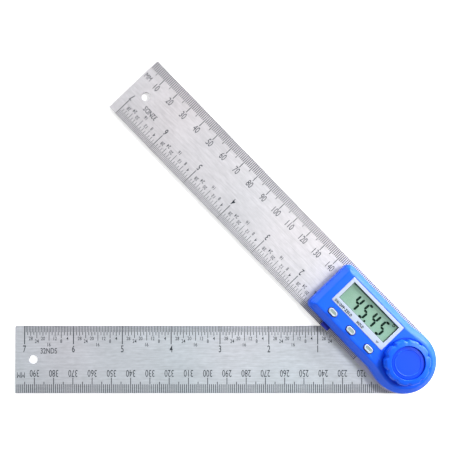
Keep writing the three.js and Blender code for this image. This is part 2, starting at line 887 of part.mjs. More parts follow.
// Lock knob: rounded rim with shallow notches, a recess for its cap and a pocket for its nut
function lockKnob() {
  const r = knobDiameter / 2;
  const recess = knobRecessDiameter / 2;
  const body = turned([
    [0, knobBase],
    [r - knobBottomEdge, knobBase],
    [r, knobBase + knobBottomEdge],
    [r, knobTop - knobCrownHeight],
    ...knobCrownShares.map(([inward, down]) => [
      r - knobCrownWidth * inward,
      knobTop - knobCrownHeight * down,
    ]),
    [r - knobCrownWidth, knobTop],
    [recess + knobLipWidth, knobTop],
    [recess, knobTop - knobLipHeight],
    [recess, capBase],
    [0, capBase],
  ]);
  let knob = body.subtract(hexPrism(nutAcrossFlats + 2 * fitGap, nutBase, capBase + overrun));
  knob = knob.subtract(
    disc(studThreadDiameter + 2 * fitGap, knobBase - overrun, nutBase + overrun),
  );
  for (let i = 0; i < knobNotches; i++) {
    const angle = THREE.MathUtils.degToRad(knobNotchPhaseDegrees) + (i / knobNotches) * 2 * Math.PI;
    const reach = r - knobNotchDepth + knobNotchRadius;
    const notch = discAt(
      -reach * Math.cos(angle), reach * Math.sin(angle), 2 * knobNotchRadius,
      knobBase - overrun, knobTop + overrun,
    );
    knob = knob.subtract(notch);
  }
  return knob;
}

function knobNut() {
  const bore = disc(studThreadDiameter + 2 * fitGap, nutBase - overrun, nutTop + overrun);
  return hexPrism(nutAcrossFlats, nutBase, nutTop).subtract(bore);
}

// Cap in the knob's recess, bare but for one raised ring
function knobCap() {
  const top = capBase + knobCapThickness;
  const r = knobRecessDiameter / 2 - fitGap;
  const ringOuter = knobCapRingDiameter / 2;
  const ringInner = ringOuter - knobCapRingWidth;
  return turned([
    [0, capBase],
    [r, capBase],
    [r, top],
    [ringOuter, top],
    [ringOuter, top + knobCapRingHeight],
    [ringInner, top + knobCapRingHeight],
    [ringInner, top],
    [0, top],
  ]);
}

// Lower arm, with what is fixed to its stud
place(lowerArm, "lower_ruler", lowerRuler(), steel());
place(lowerArm, "pivot_stud", pivotStud(), finish(0xb4b7bb, 0.3, 1));
place(
  lowerArm,
  "friction_washer",
  ring(studShoulderDiameter + 2 * fitGap, frictionWasherDiameter, washerBase, upperRulerBase),
  finish(0xe8e6de, 0.5, 0),
);
place(lowerArm, "rotor_disc", rotorDisc(), finish(0x2f6b3c, 0.5, 0));
place(
  lowerArm,
  "rotor_clip",
  ring(studNeckDiameter + 2 * fitGap, clipDiameter, clipBase, clipBase + clipThickness),
  steel(),
);

// Knob, on the stud's own axes
place(lowerArm, "lock_knob", lockKnob(), bluePlastic());
place(lowerArm, "knob_nut", knobNut(), brass());
place(lowerArm, "knob_cap", knobCap(), bluePlastic());

// Upper arm: ruler, bush and the head's shells
place(upperArm, "upper_ruler", upperRuler(), steel());
place(upperArm, "pivot_bush", pivotBush(), brass());
place(upperArm, "base_shell", baseShell(), bluePlastic());
place(upperArm, "front_shell", frontShell(), bluePlastic());
screwPlaces.forEach(([along, across], i) => {
  place(upperArm, `case_screw_${i + 1}`, caseScrew(along, across), finish(0x8f9296, 0.35, 1));
});
place(upperArm, "wave_spring", waveSpring(), steel());
place(
  upperArm,
  "thrust_washer",
  ring(studThreadDiameter + 2 * fitGap, thrustWasherDiameter, thrustWasherBase, knobBase),
  finish(0xf0eee6, 0.45, 0),
);

// Display stack
place(upperArm, "bezel_plate", bezelPlate(), finish(0xe9ecf6, 0.5, 0));
place(upperArm, "display_lens", block(lensBox, lensBase, lensTop),
  finish(0xdfeee6, 0.08, 0));
place(upperArm, "display_glass", block(glassBox, glassBase, lensBase), finish(0x9cc29c, 0.25, 0));
place(upperArm, "display_frame", displayFrame(), finish(0xf2f2f0, 0.6, 0));
place(upperArm, "upper_zebra_strip", zebraStrip(windowTop), rubber());
place(upperArm, "lower_zebra_strip", zebraStrip(windowBottom - zebraWidth), rubber());

// Electronics and battery
place(upperArm, "circuit_board", circuitBoard(), finish(0x1d6b3a, 0.5, 0));
place(upperArm, "controller_chip", controllerChip(), finish(0x16171a, 0.6, 0));
place(upperArm, "timing_crystal", timingCrystal(), steel());
place(upperArm, "keypad_mat", keypadMat(), rubber());
place(upperArm, "face_contact", faceContact(), brass());
place(upperArm, "edge_contact", edgeContact(), brass());
place(upperArm, "battery_drawer", batteryDrawer(), finish(0x101d8c, 0.5, 0));
place(upperArm, "coin_cell", coinCell(), steel());

// Buttons, from the far end towards the knob
["power_button", "hold_button", "mode_button"].forEach((name, i) => {
  place(upperArm, name, buttonCap(buttonPlaces[i]), finish(0xd5d8d6, 0.5, 0));
});

export default angleFinder;
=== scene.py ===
"""The looks of a digital angle finder: two steel rulers, a blue display head and a lock knob.

Everything is in metres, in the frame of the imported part. The lower ruler lies along -X. Pieces of
the upper arm are made in that arm's own axes, with -x to its free end and +y to its millimetre
edge, and are turned to the opening once they have their shape.
"""

import json
import math

import bmesh
import bpy
from mathutils import Matrix, Vector


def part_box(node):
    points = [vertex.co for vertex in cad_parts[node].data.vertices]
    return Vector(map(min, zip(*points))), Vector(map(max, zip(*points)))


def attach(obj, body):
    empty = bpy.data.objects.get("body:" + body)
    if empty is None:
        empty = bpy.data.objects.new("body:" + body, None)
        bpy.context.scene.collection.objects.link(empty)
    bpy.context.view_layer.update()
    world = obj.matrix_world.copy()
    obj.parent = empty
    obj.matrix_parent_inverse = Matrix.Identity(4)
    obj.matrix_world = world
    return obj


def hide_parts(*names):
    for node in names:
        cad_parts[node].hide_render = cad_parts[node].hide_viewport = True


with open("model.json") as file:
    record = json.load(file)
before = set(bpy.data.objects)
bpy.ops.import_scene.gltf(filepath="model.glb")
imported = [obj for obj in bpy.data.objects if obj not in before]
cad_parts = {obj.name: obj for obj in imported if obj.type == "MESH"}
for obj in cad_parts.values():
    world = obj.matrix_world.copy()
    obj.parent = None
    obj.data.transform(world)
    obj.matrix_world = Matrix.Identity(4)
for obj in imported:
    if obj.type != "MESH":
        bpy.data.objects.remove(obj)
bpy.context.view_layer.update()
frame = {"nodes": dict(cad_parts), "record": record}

MM = 0.001
OPENING = math.radians(46)
LOWER_TURN = Matrix.Identity(4)
UPPER_TURN = Matrix.Rotation(-OPENING, 4, "Z")


def body_turn(body):
    """The turn of the axes that a body's pieces are made in. Two bodies need none."""
    return LOWER_TURN if body in ("lower_arm", "knob") else UPPER_TURN


def extent(points):
    """The lowest and highest corners of the box round some points."""
    low = Vector([min(point[axis] for point in points) for axis in range(3)])
    high = Vector([max(point[axis] for point in points) for axis in range(3)])
    return low, high


def arm_box(part, turn=UPPER_TURN):
    """A CAD node's lowest and highest corners in an arm's own axes."""
    back = turn.inverted()
    return extent([back @ vertex.co for vertex in frame["nodes"][part].data.vertices])


# Rulers
RULER_HALF = 17.5 * MM
RULER_REACH = -arm_box("lower_ruler", LOWER_TURN)[0].x
RULER_EDGE = 0.12 * MM
INK_THICKNESS = 0.02 * MM
INCH = 25.4 * MM
INCH_ZERO = 17.4 * MM
INCHES = 7
MM_TICK_WIDTH = 0.38 * MM
INCH_TICK_WIDTH = 0.3 * MM
UPPER_INCH_TICK_WIDTH = 0.24 * MM
WHOLE_INCH_WIDER = 1.5

# Head
CASE_REACH = -arm_box("front_shell")[0].x
CASE_HALF = 15.1 * MM
CASE_ROUND = arm_box("front_shell")[1].x
CASE_FLARE = 10 * MM
CASE_CORNER = 3 * MM
CASE_LEAST_CORNER = 0.6 * MM
CASE_WALL = 1.2 * MM
BEVEL_RUN = 3.1 * MM
BEVEL_RISE = 3 * MM
BEVEL_LOWER_CREASE = 0.9 * MM
BEVEL_UPPER_CREASE = 0.7 * MM
CASE_TOP = arm_box("front_shell")[1].z
CASE_BASE = arm_box("base_shell")[0].z
CASE_SPLIT = arm_box("base_shell")[1].z
CASE_FLOOR = CASE_BASE + 1 * MM
CASE_CEILING = CASE_TOP - 1.2 * MM
SPLIT_GROOVE = 0.15 * MM
TOP_EDGE = 0.15 * MM
HUB_WALL = 1 * MM
HUB_BASE = CASE_SPLIT + 1.6 * MM
HUB_TOP = CASE_TOP - 0.4 * MM
SCREW_POST_RADIUS = 1.8 * MM
SCREW_HOLE_RADIUS = 1.3 * MM
FIT = 0.3 * MM
OVERRUN = 1 * MM

# Buttons, each of which rides on a body of its own
BUTTONS = {"power_button": "power_key", "hold_button": "hold_key", "mode_button": "mode_key"}
BUTTON_GAP = 0.45 * MM
BUTTON_FLANGE = 0.7 * MM
BUTTON_FLANGE_HEIGHT = 0.5 * MM
# Below this height a button's stem and flange are painted navy, as shade in the gap round the
# button
BUTTON_PAINTED_SHADE_TOP = CASE_TOP - 0.1 * MM
BUTTON_DISH = 0.12 * MM

# Knob
KNOB_LOW, KNOB_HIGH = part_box("lock_knob")
KNOB_RADIUS = KNOB_HIGH.x
KNOB_BORE = 2.8 * MM
KNOB_POCKET = 5.1 * MM
KNOB_RECESS = 8.45 * MM
KNOB_NOTCHES = 10
KNOB_NOTCH_START = math.radians(20)
KNOB_NOTCH_DEPTH = 0.85 * MM
KNOB_NOTCH_HALF = 1.6 * MM
KNOB_NOTCH_SHARPNESS = 0.8
KNOB_STEPS = 240
KNOB_CROWN_FALL = 0.5 * MM
KNOB_SHOULDER = 1.5 * MM
KNOB_SOFT_EDGE = 0.3 * MM
KNOB_NUT_FLOOR = KNOB_LOW.z + 0.4 * MM
CAP_RING_OUTSIDE = 6.8 * MM
CAP_RING_INSIDE = 6.3 * MM
CAP_RING_HEIGHT = 0.15 * MM

# Groove in the cover round the knob
MOAT_INSIDE = KNOB_RADIUS - 0.9 * MM
MOAT_OUTSIDE = KNOB_RADIUS + 0.75 * MM
MOAT_FLOOR = CASE_TOP - 0.8 * MM


# Outlines and profiles

CASE_END_STEPS = 96
CASE_CORNER_STEPS = 10
BOX_CORNER_STEPS = 5
SLOT_END_STEPS = 12


def rounded(points, radii, steps=4):
    """A bent line whose inner corners are rounded, each over its own reach."""
    points = [Vector(point) for point in points]
    line = [points[0]]
    for before, corner, after, reach in zip(points, points[1:], points[2:], radii):
        if reach == 0:
            line.append(corner)
            continue
        start = corner + (before - corner).normalized() * reach
        end = corner + (after - corner).normalized() * reach
        for step in range(steps + 1):
            share = step / steps
            line.append(start.lerp(corner, share).lerp(corner.lerp(end, share), share))
    line.append(points[-1])
    return line


def arc(centre_x, centre_y, radius, start, end, steps):
    """Points along part of a circle, both ends included."""
    angles = [start + (end - start) * step / steps for step in range(steps + 1)]
    return [(centre_x + radius * math.cos(a), centre_y + radius * math.sin(a)) for a in angles]


def case_outline(inset):
    """The head seen from above, drawn in by an inset, anticlockwise."""
    half = CASE_HALF - inset
    radius = CASE_ROUND - inset
    corner = max(CASE_CORNER - inset, CASE_LEAST_CORNER)
    corner_x = -(CASE_REACH - inset) + corner
    corner_y = half - corner
    flare = math.hypot(CASE_FLARE, half)
    tangent = math.atan2(half, -CASE_FLARE) - math.acos(min(1, radius / flare))
    return [
        (-CASE_FLARE, -half),
        *arc(0, 0, radius, -tangent, tangent, CASE_END_STEPS),
        (-CASE_FLARE, half),
        *arc(corner_x, corner_y, corner, math.pi / 2, math.pi, CASE_CORNER_STEPS),
        *arc(corner_x, -corner_y, corner, math.pi, math.pi * 1.5, CASE_CORNER_STEPS),
    ]


def rounded_box(low, high, inset, radius):
    """A rectangle with round corners, drawn in by an inset, anticlockwise."""
    left, right = low[0] + inset + radius, high[0] - inset - radius
    bottom, top = low[1] + inset + radius, high[1] - inset - radius
    quarter = math.pi / 2
    return [
        *arc(right, bottom, radius, -quarter, 0, BOX_CORNER_STEPS),
        *arc(right, top, radius, 0, quarter, BOX_CORNER_STEPS),
        *arc(left, top, radius, quarter, 2 * quarter, BOX_CORNER_STEPS),
        *arc(left, bottom, radius, 2 * quarter, 3 * quarter, BOX_CORNER_STEPS),
    ]


def obround(low, high, inset):
    """A slot with round ends along x, drawn in by an inset."""
    radius = (high[1] - low[1]) / 2 - inset
    middle = (low[1] + high[1]) / 2
    left, right = low[0] + inset + radius, high[0] - inset - radius
    quarter = math.pi / 2
    return [
        *arc(right, middle, radius, -quarter, quarter, SLOT_END_STEPS),
        *arc(left, middle, radius, quarter, 3 * quarter, SLOT_END_STEPS),
    ]


# Solids

MERGE_DISTANCE = MM / 10000


def loft(rings, closed=False):
    """A solid through rings of (outline, height). It is capped, unless it closes on itself."""
    bm = bmesh.new()
    outline, height = rings[0]
    verts = [bm.verts.new((x, y, height)) for x, y in outline]
    edges = [bm.edges.new(pair) for pair in zip(verts, verts[1:] + verts[:1])]
    if not closed:
        bmesh.ops.contextual_create(bm, geom=edges)
    last_ring = rings[:1] if closed else []
    for outline, height in rings[1:] + last_ring:
        grown = bmesh.ops.extrude_edge_only(bm, edges=edges)["geom"]
        fresh = {tuple(item.co): item for item in grown if isinstance(item, bmesh.types.BMVert)}
        verts = [fresh[tuple(vertex.co)] for vertex in verts]
        edges = [bm.edges.get(pair) for pair in zip(verts, verts[1:] + verts[:1])]
        for vertex, (x, y) in zip(verts, outline):
            vertex.co = (x, y, height)
    if closed:
        bmesh.ops.remove_doubles(bm, verts=bm.verts, dist=MERGE_DISTANCE)
    else:
        bmesh.ops.contextual_create(bm, geom=edges)
    bmesh.ops.recalc_face_normals(bm, faces=bm.faces)
    return bm


def raised(outline, profile):
    """A solid whose outline is drawn in as it rises, by a profile of (inset, height)."""
    return loft([(outline(inset), height) for inset, height in profile])


def block(low, high):
    """A box between its lowest and highest corners."""
    bm = bmesh.new()
    size = Vector(high) - Vector(low)
    middle = (Vector(high) + Vector(low)) / 2
    bmesh.ops.create_cube(bm, size=1, matrix=Matrix.LocRotScale(middle, None, size))
    return bm


def cylinder(x, y, radius, low, high, segments=48):
    """An upright cylinder between two heights."""
    bm = bmesh.new()
    bmesh.ops.create_cone(
        bm, cap_ends=True, segments=segments, radius1=radius, radius2=radius, depth=high - low,
        matrix=Matrix.Translation((x, y, (low + high) / 2)),
    )
    return bm


def spun(profile, steps=96, x=0, y=0):
    """A round piece about an upright axis, from a closed profile of (radius, height)."""
    bm = bmesh.new()
    verts = [bm.verts.new((radius, 0, height)) for radius, height in profile]
    edges = [bm.edges.new(pair) for pair in zip(verts, verts[1:] + verts[:1])]
    bmesh.ops.spin(
        bm, geom=verts + edges, cent=(0, 0, 0), axis=(0, 0, 1), angle=2 * math.pi, steps=steps,
        use_merge=True,
    )
    bmesh.ops.remove_doubles(bm, verts=bm.verts, dist=MERGE_DISTANCE)
    loose = [edge for edge in bm.edges if not edge.link_faces]
    bmesh.ops.delete(bm, geom=loose, context="EDGES")
    bmesh.ops.recalc_face_normals(bm, faces=bm.faces)
    bm.transform(Matrix.Translation((x, y, 0)))
    return bm


def mesh_object(name, bm):
    """An object in the scene that has a bmesh's shape."""
    mesh = bpy.data.meshes.new(name)
    bm.to_mesh(mesh)
    bm.free()
    made = bpy.data.objects.new(name, mesh)
    bpy.context.scene.collection.objects.link(made)
    return made


def combined(solid, others, operation):
    """A solid with others cut from it or joined to it."""
    shape = mesh_object("scratch", solid)
    tools = [mesh_object("scratch", other) for other in others]
    for tool in tools:
        step = shape.modifiers.new(operation.lower(), "BOOLEAN")
        step.operation = operation
        step.solver = "EXACT"
        step.object = tool
    ready = shape.evaluated_get(bpy.context.evaluated_depsgraph_get())
    bm = bmesh.new()
    bm.from_mesh(ready.to_mesh())
    for spent in [shape, *tools]:
        bpy.data.objects.remove(spent)
    bmesh.ops.remove_doubles(bm, verts=bm.verts, dist=MERGE_DISTANCE)
    return bm


def tidied(bm):
    """Flat faces joined up, so that only real edges are left to round off."""
    bmesh.ops.dissolve_limit(bm, angle_limit=math.radians(1), verts=bm.verts, edges=bm.edges)
    return bm


def softened(bm, width, wanted=lambda edge: True, segments=2, sharper_than=30):
    """The sharp edges rounded off."""
    least = math.radians(sharper_than)
    edges = [
        edge for edge in bm.edges
        if edge.is_manifold and edge.calc_face_angle() > least and wanted(edge)
    ]
    bmesh.ops.bevel(
        bm, geom=edges, offset=width, offset_type="OFFSET", segments=segments, profile=0.5,
        affect="EDGES", clamp_overlap=True, material=-1,
    )
    return bm


def node_copy(part, body):
    """A CAD node's shape in its body's axes, with its loose triangles merged."""
    bm = bmesh.new()
    bm.from_mesh(frame["nodes"][part].data)
    bmesh.ops.remove_doubles(bm, verts=bm.verts, dist=MERGE_DISTANCE)
    tidied(bm).transform(body_turn(body).inverted())
    return bm


def piece(name, bm, materials, body, replaces=(), smooth=40):
    """A finished piece: turned to its place, smooth where it is round, and riding on its body."""
    bm.transform(body_turn(body))
    made = mesh_object(name, bm)
    for surface in materials:
        made.data.materials.append(surface)
    made.data.shade_smooth()
    made.data.set_sharp_from_angle(angle=math.radians(smooth))
    made.modifiers.new("even_shading", "WEIGHTED_NORMAL").keep_sharp = True
    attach(made, body)
    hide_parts(*replaces)
    return made


# Shared effects, as node groups

def effect_group(name, inputs, outputs):
    """An empty node group with named sockets: (name, kind, value) in, (name, kind) out."""
    group = bpy.data.node_groups.new(name, "ShaderNodeTree")
    for socket, kind, value in inputs:
        made = group.interface.new_socket(socket, in_out="INPUT", socket_type=kind)
        if value is not None:
            made.default_value = value
    for socket, kind in outputs:
        group.interface.new_socket(socket, in_out="OUTPUT", socket_type=kind)
    given = group.nodes.new("NodeGroupInput").outputs
    return group, given, group.nodes.new("NodeGroupOutput")


def feed(tree, made, values):
    """A node's inputs, by name or number: a value, a socket, or a node for its first output."""
    for socket, value in dict(values).items():
        if isinstance(value, bpy.types.Node):
            value = value.outputs[0]
        if isinstance(value, bpy.types.NodeSocket):
            tree.links.new(value, made.inputs[socket])
        else:
            made.inputs[socket].default_value = value
    return made


def node(tree, kind, values=(), **settings):
    """A shader node with its settings, and what feeds its inputs."""
    made = tree.nodes.new("ShaderNode" + kind)
    for setting, value in settings.items():
        setattr(made, setting, value)
    return feed(tree, made, values)


def make_grain():
    """The fine texture of a moulded surface: a tone that varies over it, and a bump."""
    group, given, result = effect_group(
        "moulded_grain",
        [("Vector", "NodeSocketVector", None), ("Scale", "NodeSocketFloat", 2500),
         ("Depth", "NodeSocketFloat", 0.00001)],
        [("Tone", "NodeSocketFloat"), ("Normal", "NodeSocketVector")],
    )
    vector = given["Vector"]
    fine = node(group, "TexNoise", {
        "Vector": vector, "Scale": given["Scale"], "Detail": 3, "Roughness": 0.6,
    })
    broad = node(group, "TexNoise", {"Vector": vector, "Scale": 60, "Detail": 2})
    tone = node(group, "Mix", {"Factor": 0.35, "A": broad, "B": fine}, data_type="FLOAT")
    bump = node(group, "Bump", {"Height": fine, "Strength": 0.7, "Distance": given["Depth"]})
    feed(group, result, {"Tone": tone, "Normal": bump})
    return group


def make_wear():
    """A mask of the outer edges, broken up, where handling polishes and lightens them."""
    group, given, result = effect_group(
        "worn_edges",
        [("Vector", "NodeSocketVector", None), ("Start", "NodeSocketFloat", 0.54),
         ("Full", "NodeSocketFloat", 0.64)],
        [("Mask", "NodeSocketFloat")],
    )
    edge = node(group, "MapRange", {
        "Value": node(group, "NewGeometry").outputs["Pointiness"],
        "From Min": given["Start"],
        "From Max": given["Full"],
    }, interpolation_type="SMOOTHSTEP")
    patches = node(group, "TexNoise", {"Vector": given["Vector"], "Scale": 220, "Detail": 4})
    broken = node(group, "MapRange", {"Value": patches, "From Min": 0.35, "From Max": 0.65})
    mask = node(group, "Math", {0: edge, 1: broken}, operation="MULTIPLY")
    feed(group, result, {"Mask": mask})
    return group


def make_brushing():
    """Fine lines along x over a short mottled grain: how light each place is, and their bump."""
    group, given, result = effect_group(
        "brushed_lines",
        [("Vector", "NodeSocketVector", None), ("Depth", "NodeSocketFloat", 0.000004),
         ("Mottling", "NodeSocketFloat", 0.45)],
        [("Streak", "NodeSocketFloat"), ("Normal", "NodeSocketVector")],
    )
    vector = given["Vector"]
    stretch = node(group, "Mapping", {"Vector": vector, "Scale": (60, 2200, 2200)})
    lines = node(group, "TexNoise", {
        "Vector": stretch, "Scale": 1, "Detail": 4, "Roughness": 0.65,
    })
    squash = node(group, "Mapping", {"Vector": vector, "Scale": (260, 900, 900)})
    grain = node(group, "TexNoise", {
        "Vector": squash, "Scale": 1, "Detail": 3, "Roughness": 0.6,
    })
    both = node(group, "Mix", {
        "Factor": given["Mottling"], "A": lines, "B": grain,
    }, data_type="FLOAT")
    spread = node(group, "MapRange", {"Value": both, "From Min": 0.32, "From Max": 0.68})
    bump = node(group, "Bump", {"Height": lines, "Strength": 0.5, "Distance": given["Depth"]})
    feed(group, result, {"Streak": spread, "Normal": bump})
    return group


def make_smudges():
    """Broad soft patches, as handling leaves on a smooth surface."""
    group, given, result = effect_group(
        "soft_smudges",
        [("Vector", "NodeSocketVector", None), ("Scale", "NodeSocketFloat", 45)],
        [("Smudge", "NodeSocketFloat")],
    )
    patches = node(group, "TexNoise", {
        "Vector": given["Vector"], "Scale": given["Scale"], "Detail": 5, "Roughness": 0.55,
        "Distortion": 0.6,
    })
    spread = node(group, "MapRange", {
        "Value": patches, "From Min": 0.38, "From Max": 0.66,
    }, interpolation_type="SMOOTHSTEP")
    feed(group, result, {"Smudge": spread})
    return group


GRAIN = make_grain()
WEAR = make_wear()
BRUSHING = make_brushing()
SMUDGES = make_smudges()


# Materials

def material(name, values, turn=0):
    """A material with plain values on its shader, and Object coordinates that turn with an arm."""
    made = bpy.data.materials.new(name)
    made.use_nodes = True
    tree = made.node_tree
    shader = feed(tree, tree.nodes["Principled BSDF"], values)
    place = node(tree, "TexCoord").outputs["Object"]
    vector = node(tree, "Mapping", {"Vector": place, "Rotation": (0, 0, turn)})
    return made, tree, shader, vector


def use(tree, group, vector, values=()):
    """A shared effect in a material, with its own values."""
    made = tree.nodes.new("ShaderNodeGroup")
    made.node_tree = group
    return feed(tree, made, {"Vector": vector, **dict(values)})


def mixed(tree, factor, first, second):
    """A colour between two, by a factor that varies over the surface."""
    values = {"Factor": factor, "A": (*first, 1), "B": (*second, 1)}
    return node(tree, "Mix", values, data_type="RGBA").outputs["Result"]


def ranged(tree, value, low, high):
    """A value from 0 to 1 spread between two others."""
    return node(tree, "MapRange", {"Value": value, "To Min": low, "To Max": high})


def brushed_steel(name, turn, cool, warm):
    """Satin steel, brushed along the arm, with a broad drift between two tones."""
    made, tree, shader, vector = material(name, {"Metallic": 0.75}, turn)
    lines = use(tree, BRUSHING, vector)
    smudges = use(tree, SMUDGES, vector)
    drift = node(tree, "TexNoise", {"Vector": vector, "Scale": 14, "Detail": 1})
    streaks = node(tree, "Mix", {
        "Factor": 1,
        "A": mixed(tree, ranged(tree, drift, -0.6, 1.6), cool, warm),
        "B": ranged(tree, lines.outputs["Streak"], 0.84, 1.16),
    }, data_type="RGBA", blend_type="MULTIPLY")
    feed(tree, shader, {
        "Base Color": streaks.outputs["Result"],
        "Roughness": ranged(tree, smudges, 0.52, 0.6),
        "Normal": lines.outputs["Normal"],
    })
    return made


def turned_metal(name, dark, light):
    """Metal turned on a lathe: fine rings about the pivot's axis."""
    made, tree, shader, vector = material(name, {"Metallic": 1})
    parts = node(tree, "SeparateXYZ", {0: vector}).outputs
    flat = node(tree, "CombineXYZ", {0: parts[0], 1: parts[1]})
    radius = node(tree, "VectorMath", {0: flat}, operation="LENGTH").outputs["Value"]
    rings = node(tree, "TexNoise", {
        "W": radius, "Scale": 2600, "Detail": 2,
    }, noise_dimensions="1D")
    feed(tree, shader, {
        "Base Color": mixed(tree, rings, dark, light),
        "Roughness": ranged(tree, rings, 0.22, 0.38),
        "Normal": node(tree, "Bump", {"Height": rings, "Strength": 0.4, "Distance": 0.000004}),
    })
    return made


def plated_metal(name, dark, light):
    """Bright plating: a fine grain, and patches of a lighter tone."""
    made, tree, shader, vector = material(name, {"Metallic": 1})
    grain = use(tree, GRAIN, vector, {"Scale": 1800, "Depth": 0.000004})
    smudges = use(tree, SMUDGES, vector, {"Scale": 160})
    feed(tree, shader, {
        "Base Color": mixed(tree, smudges, dark, light),
        "Roughness": ranged(tree, grain.outputs["Tone"], 0.2, 0.4),
        "Normal": grain.outputs["Normal"],
    })
    return made


def moulded_plastic(name, dark, light, worn, roughness=(0.34, 0.46), depth=0.000012):
    """Satin plastic: a fine grain, a slight change of tone, and lighter rubbed edges."""
    made, tree, shader, vector = material(name, {"IOR": 1.5, "Specular IOR Level": 0.26})
    grain = use(tree, GRAIN, vector, {"Scale": 2200, "Depth": depth})
    edged = node(tree, "Mix", {
        "Factor": use(tree, WEAR, vector),
        "A": mixed(tree, grain.outputs["Tone"], dark, light),
        "B": (*worn, 1),
    }, data_type="RGBA")
    feed(tree, shader, {
        "Base Color": edged.outputs["Result"],
        "Roughness": ranged(tree, use(tree, SMUDGES, vector), *roughness),
        "Normal": grain.outputs["Normal"],
    })
    return made


def printed_ink(name, dark, light, roughness=0.55):
    """Dark ink on a surface, with a very fine grain."""
    made, tree, shader, vector = material(
        name, {"Roughness": roughness, "Specular IOR Level": 0.08},
    )
    grain = use(tree, GRAIN, vector, {"Scale": 5000, "Depth": 0.000002})
    feed(tree, shader, {
        "Base Color": mixed(tree, grain.outputs["Tone"], dark, light),
        "Normal": grain.outputs["Normal"],
    })
    return made


def display_surface():
    """The display's reflector: grey green, slightly uneven, with a faint sparkle."""
    made, tree, shader, vector = material(
        "display_surface", {"Roughness": 0.35, "Specular IOR Level": 0.2}, OPENING,
    )
    smudges = use(tree, SMUDGES, vector, {"Scale": 70})
    grain = use(tree, GRAIN, vector, {"Scale": 9000, "Depth": 0.000002})
    feed(tree, shader, {
        "Base Color": mixed(tree, smudges, (0.235, 0.41, 0.31), (0.265, 0.43, 0.335)),
        "Roughness": ranged(tree, grain.outputs["Tone"], 0.3, 0.42),
        "Normal": grain.outputs["Normal"],
    })
    return made


def clear_acrylic():
    """A window that is nearly all clear, and a little duller where it is smudged."""
    made, tree, shader, vector = material(
        "clear_acrylic", {"Base Color": (0.03, 0.036, 0.032, 1), "IOR": 1.49},
    )
    smudges = use(tree, SMUDGES, vector, {"Scale": 90})
    feed(tree, shader, {
        "Roughness": ranged(tree, smudges, 0.04, 0.12),
        "Alpha": ranged(tree, smudges, 0.012, 0.03),
    })
    return made


def circuit_laminate():
    """Green board with copper tracks under its mask."""
    made, tree, shader, vector = material("circuit_laminate", {"Coat Weight": 0.3})
    tracks = node(tree, "TexBrick", {
        "Vector": vector, "Color1": (0.02, 0.16, 0.05, 1), "Color2": (0.03, 0.2, 0.07, 1),
        "Mortar": (0.06, 0.3, 0.11, 1), "Scale": 260, "Mortar Size": 0.05,
    })
    grain = use(tree, GRAIN, vector, {"Scale": 3000, "Depth": 0.000004})
    feed(tree, shader, {
        "Base Color": tracks.outputs["Color"],
        "Roughness": ranged(tree, grain.outputs["Tone"], 0.3, 0.45),
        "Normal": grain.outputs["Normal"],
    })
    return made


BLUE = moulded_plastic(
    "blue_plastic", (0.004, 0.100, 0.86), (0.006, 0.120, 0.95), (0.03, 0.2, 1.0),
)
# A darker copy of the blue plastic for the knob's cap: painted shade in the knob's recess
CAP_BLUE_PAINTED_SHADE = moulded_plastic(
    "cap_blue_painted_shade", (0.003, 0.062, 0.80), (0.004, 0.076, 0.88), (0.03, 0.2, 1.0),
)
# Dark navy used as painted shade: on the drawer, whose tab lies in the housing's shadow, and on the
# buttons' stems and flanges
NAVY_PAINTED_SHADE = moulded_plastic(
    "navy_plastic", (0.006, 0.012, 0.26), (0.010, 0.020, 0.34), (0.03, 0.06, 0.5),
)
WHITE = moulded_plastic(
    "white_plastic", (0.40, 0.465, 0.57), (0.45, 0.515, 0.63), (0.85, 0.88, 0.95),
    roughness=(0.38, 0.5), depth=0.000006,
)
GREY = moulded_plastic(
    "grey_plastic", (0.235, 0.30, 0.275), (0.29, 0.365, 0.33), (0.45, 0.5, 0.46),
    depth=0.000006,
)
RUBBER = moulded_plastic(
    "dark_rubber", (0.03, 0.03, 0.034), (0.05, 0.05, 0.055), (0.08, 0.08, 0.085),
    roughness=(0.7, 0.85),
)
RESIN = moulded_plastic(
    "chip_resin", (0.008, 0.008, 0.01), (0.014, 0.014, 0.016), (0.03, 0.03, 0.03),
    roughness=(0.5, 0.65),
)
# Both rulers are the same steel in two tuned copies: the upper one is darker and pinker, painted
# shade and tint that tone down the stronger lamp light falling on that arm
LOWER_STEEL = brushed_steel(
    "lower_ruler_steel", 0, (0.435, 0.485, 0.52), (0.49, 0.495, 0.535),
)
UPPER_STEEL = brushed_steel(
    "upper_ruler_steel", OPENING, (0.45, 0.455, 0.48), (0.505, 0.485, 0.505),
)
STUD_STEEL = turned_metal("turned_steel", (0.55, 0.56, 0.57), (0.72, 0.73, 0.74))
BRASS = turned_metal("turned_brass", (0.60, 0.42, 0.16), (0.78, 0.58, 0.26))
PLATED = plated_metal("plated_steel", (0.34, 0.345, 0.35), (0.48, 0.48, 0.48))
ETCHED = printed_ink("etched_marks", (0.02, 0.024, 0.03), (0.05, 0.058, 0.07))
PRINT = printed_ink("label_print", (0.004, 0.004, 0.008), (0.012, 0.012, 0.02))
SEGMENTS = printed_ink(
    "display_segments", (0.002, 0.012, 0.008), (0.006, 0.022, 0.014), roughness=0.3,
)
# A dark frame on the display at the window's edge: painted shade along the window's edges
PAINTED_WINDOW_SHADE = printed_ink(
    "display_edge_painted_shade", (0.02, 0.045, 0.035), (0.035, 0.065, 0.05), roughness=0.5,
)
DISPLAY = display_surface()
LENS = clear_acrylic()
BOARD = circuit_laminate()

SLOT_MATERIALS = {
    "ruler_steel": LOWER_STEEL,
    "bright_steel": PLATED,
    "blue_plastic": BLUE,
    "navy_plastic": NAVY_PAINTED_SHADE,
    "grey_plastic": GREY,
    "white_plastic": WHITE,
    "display_green": DISPLAY,
    "clear_lens": LENS,
    "dark_rubber": RUBBER,
    "board_laminate": BOARD,
    "chip_resin": RESIN,
    "brass": BRASS,
}


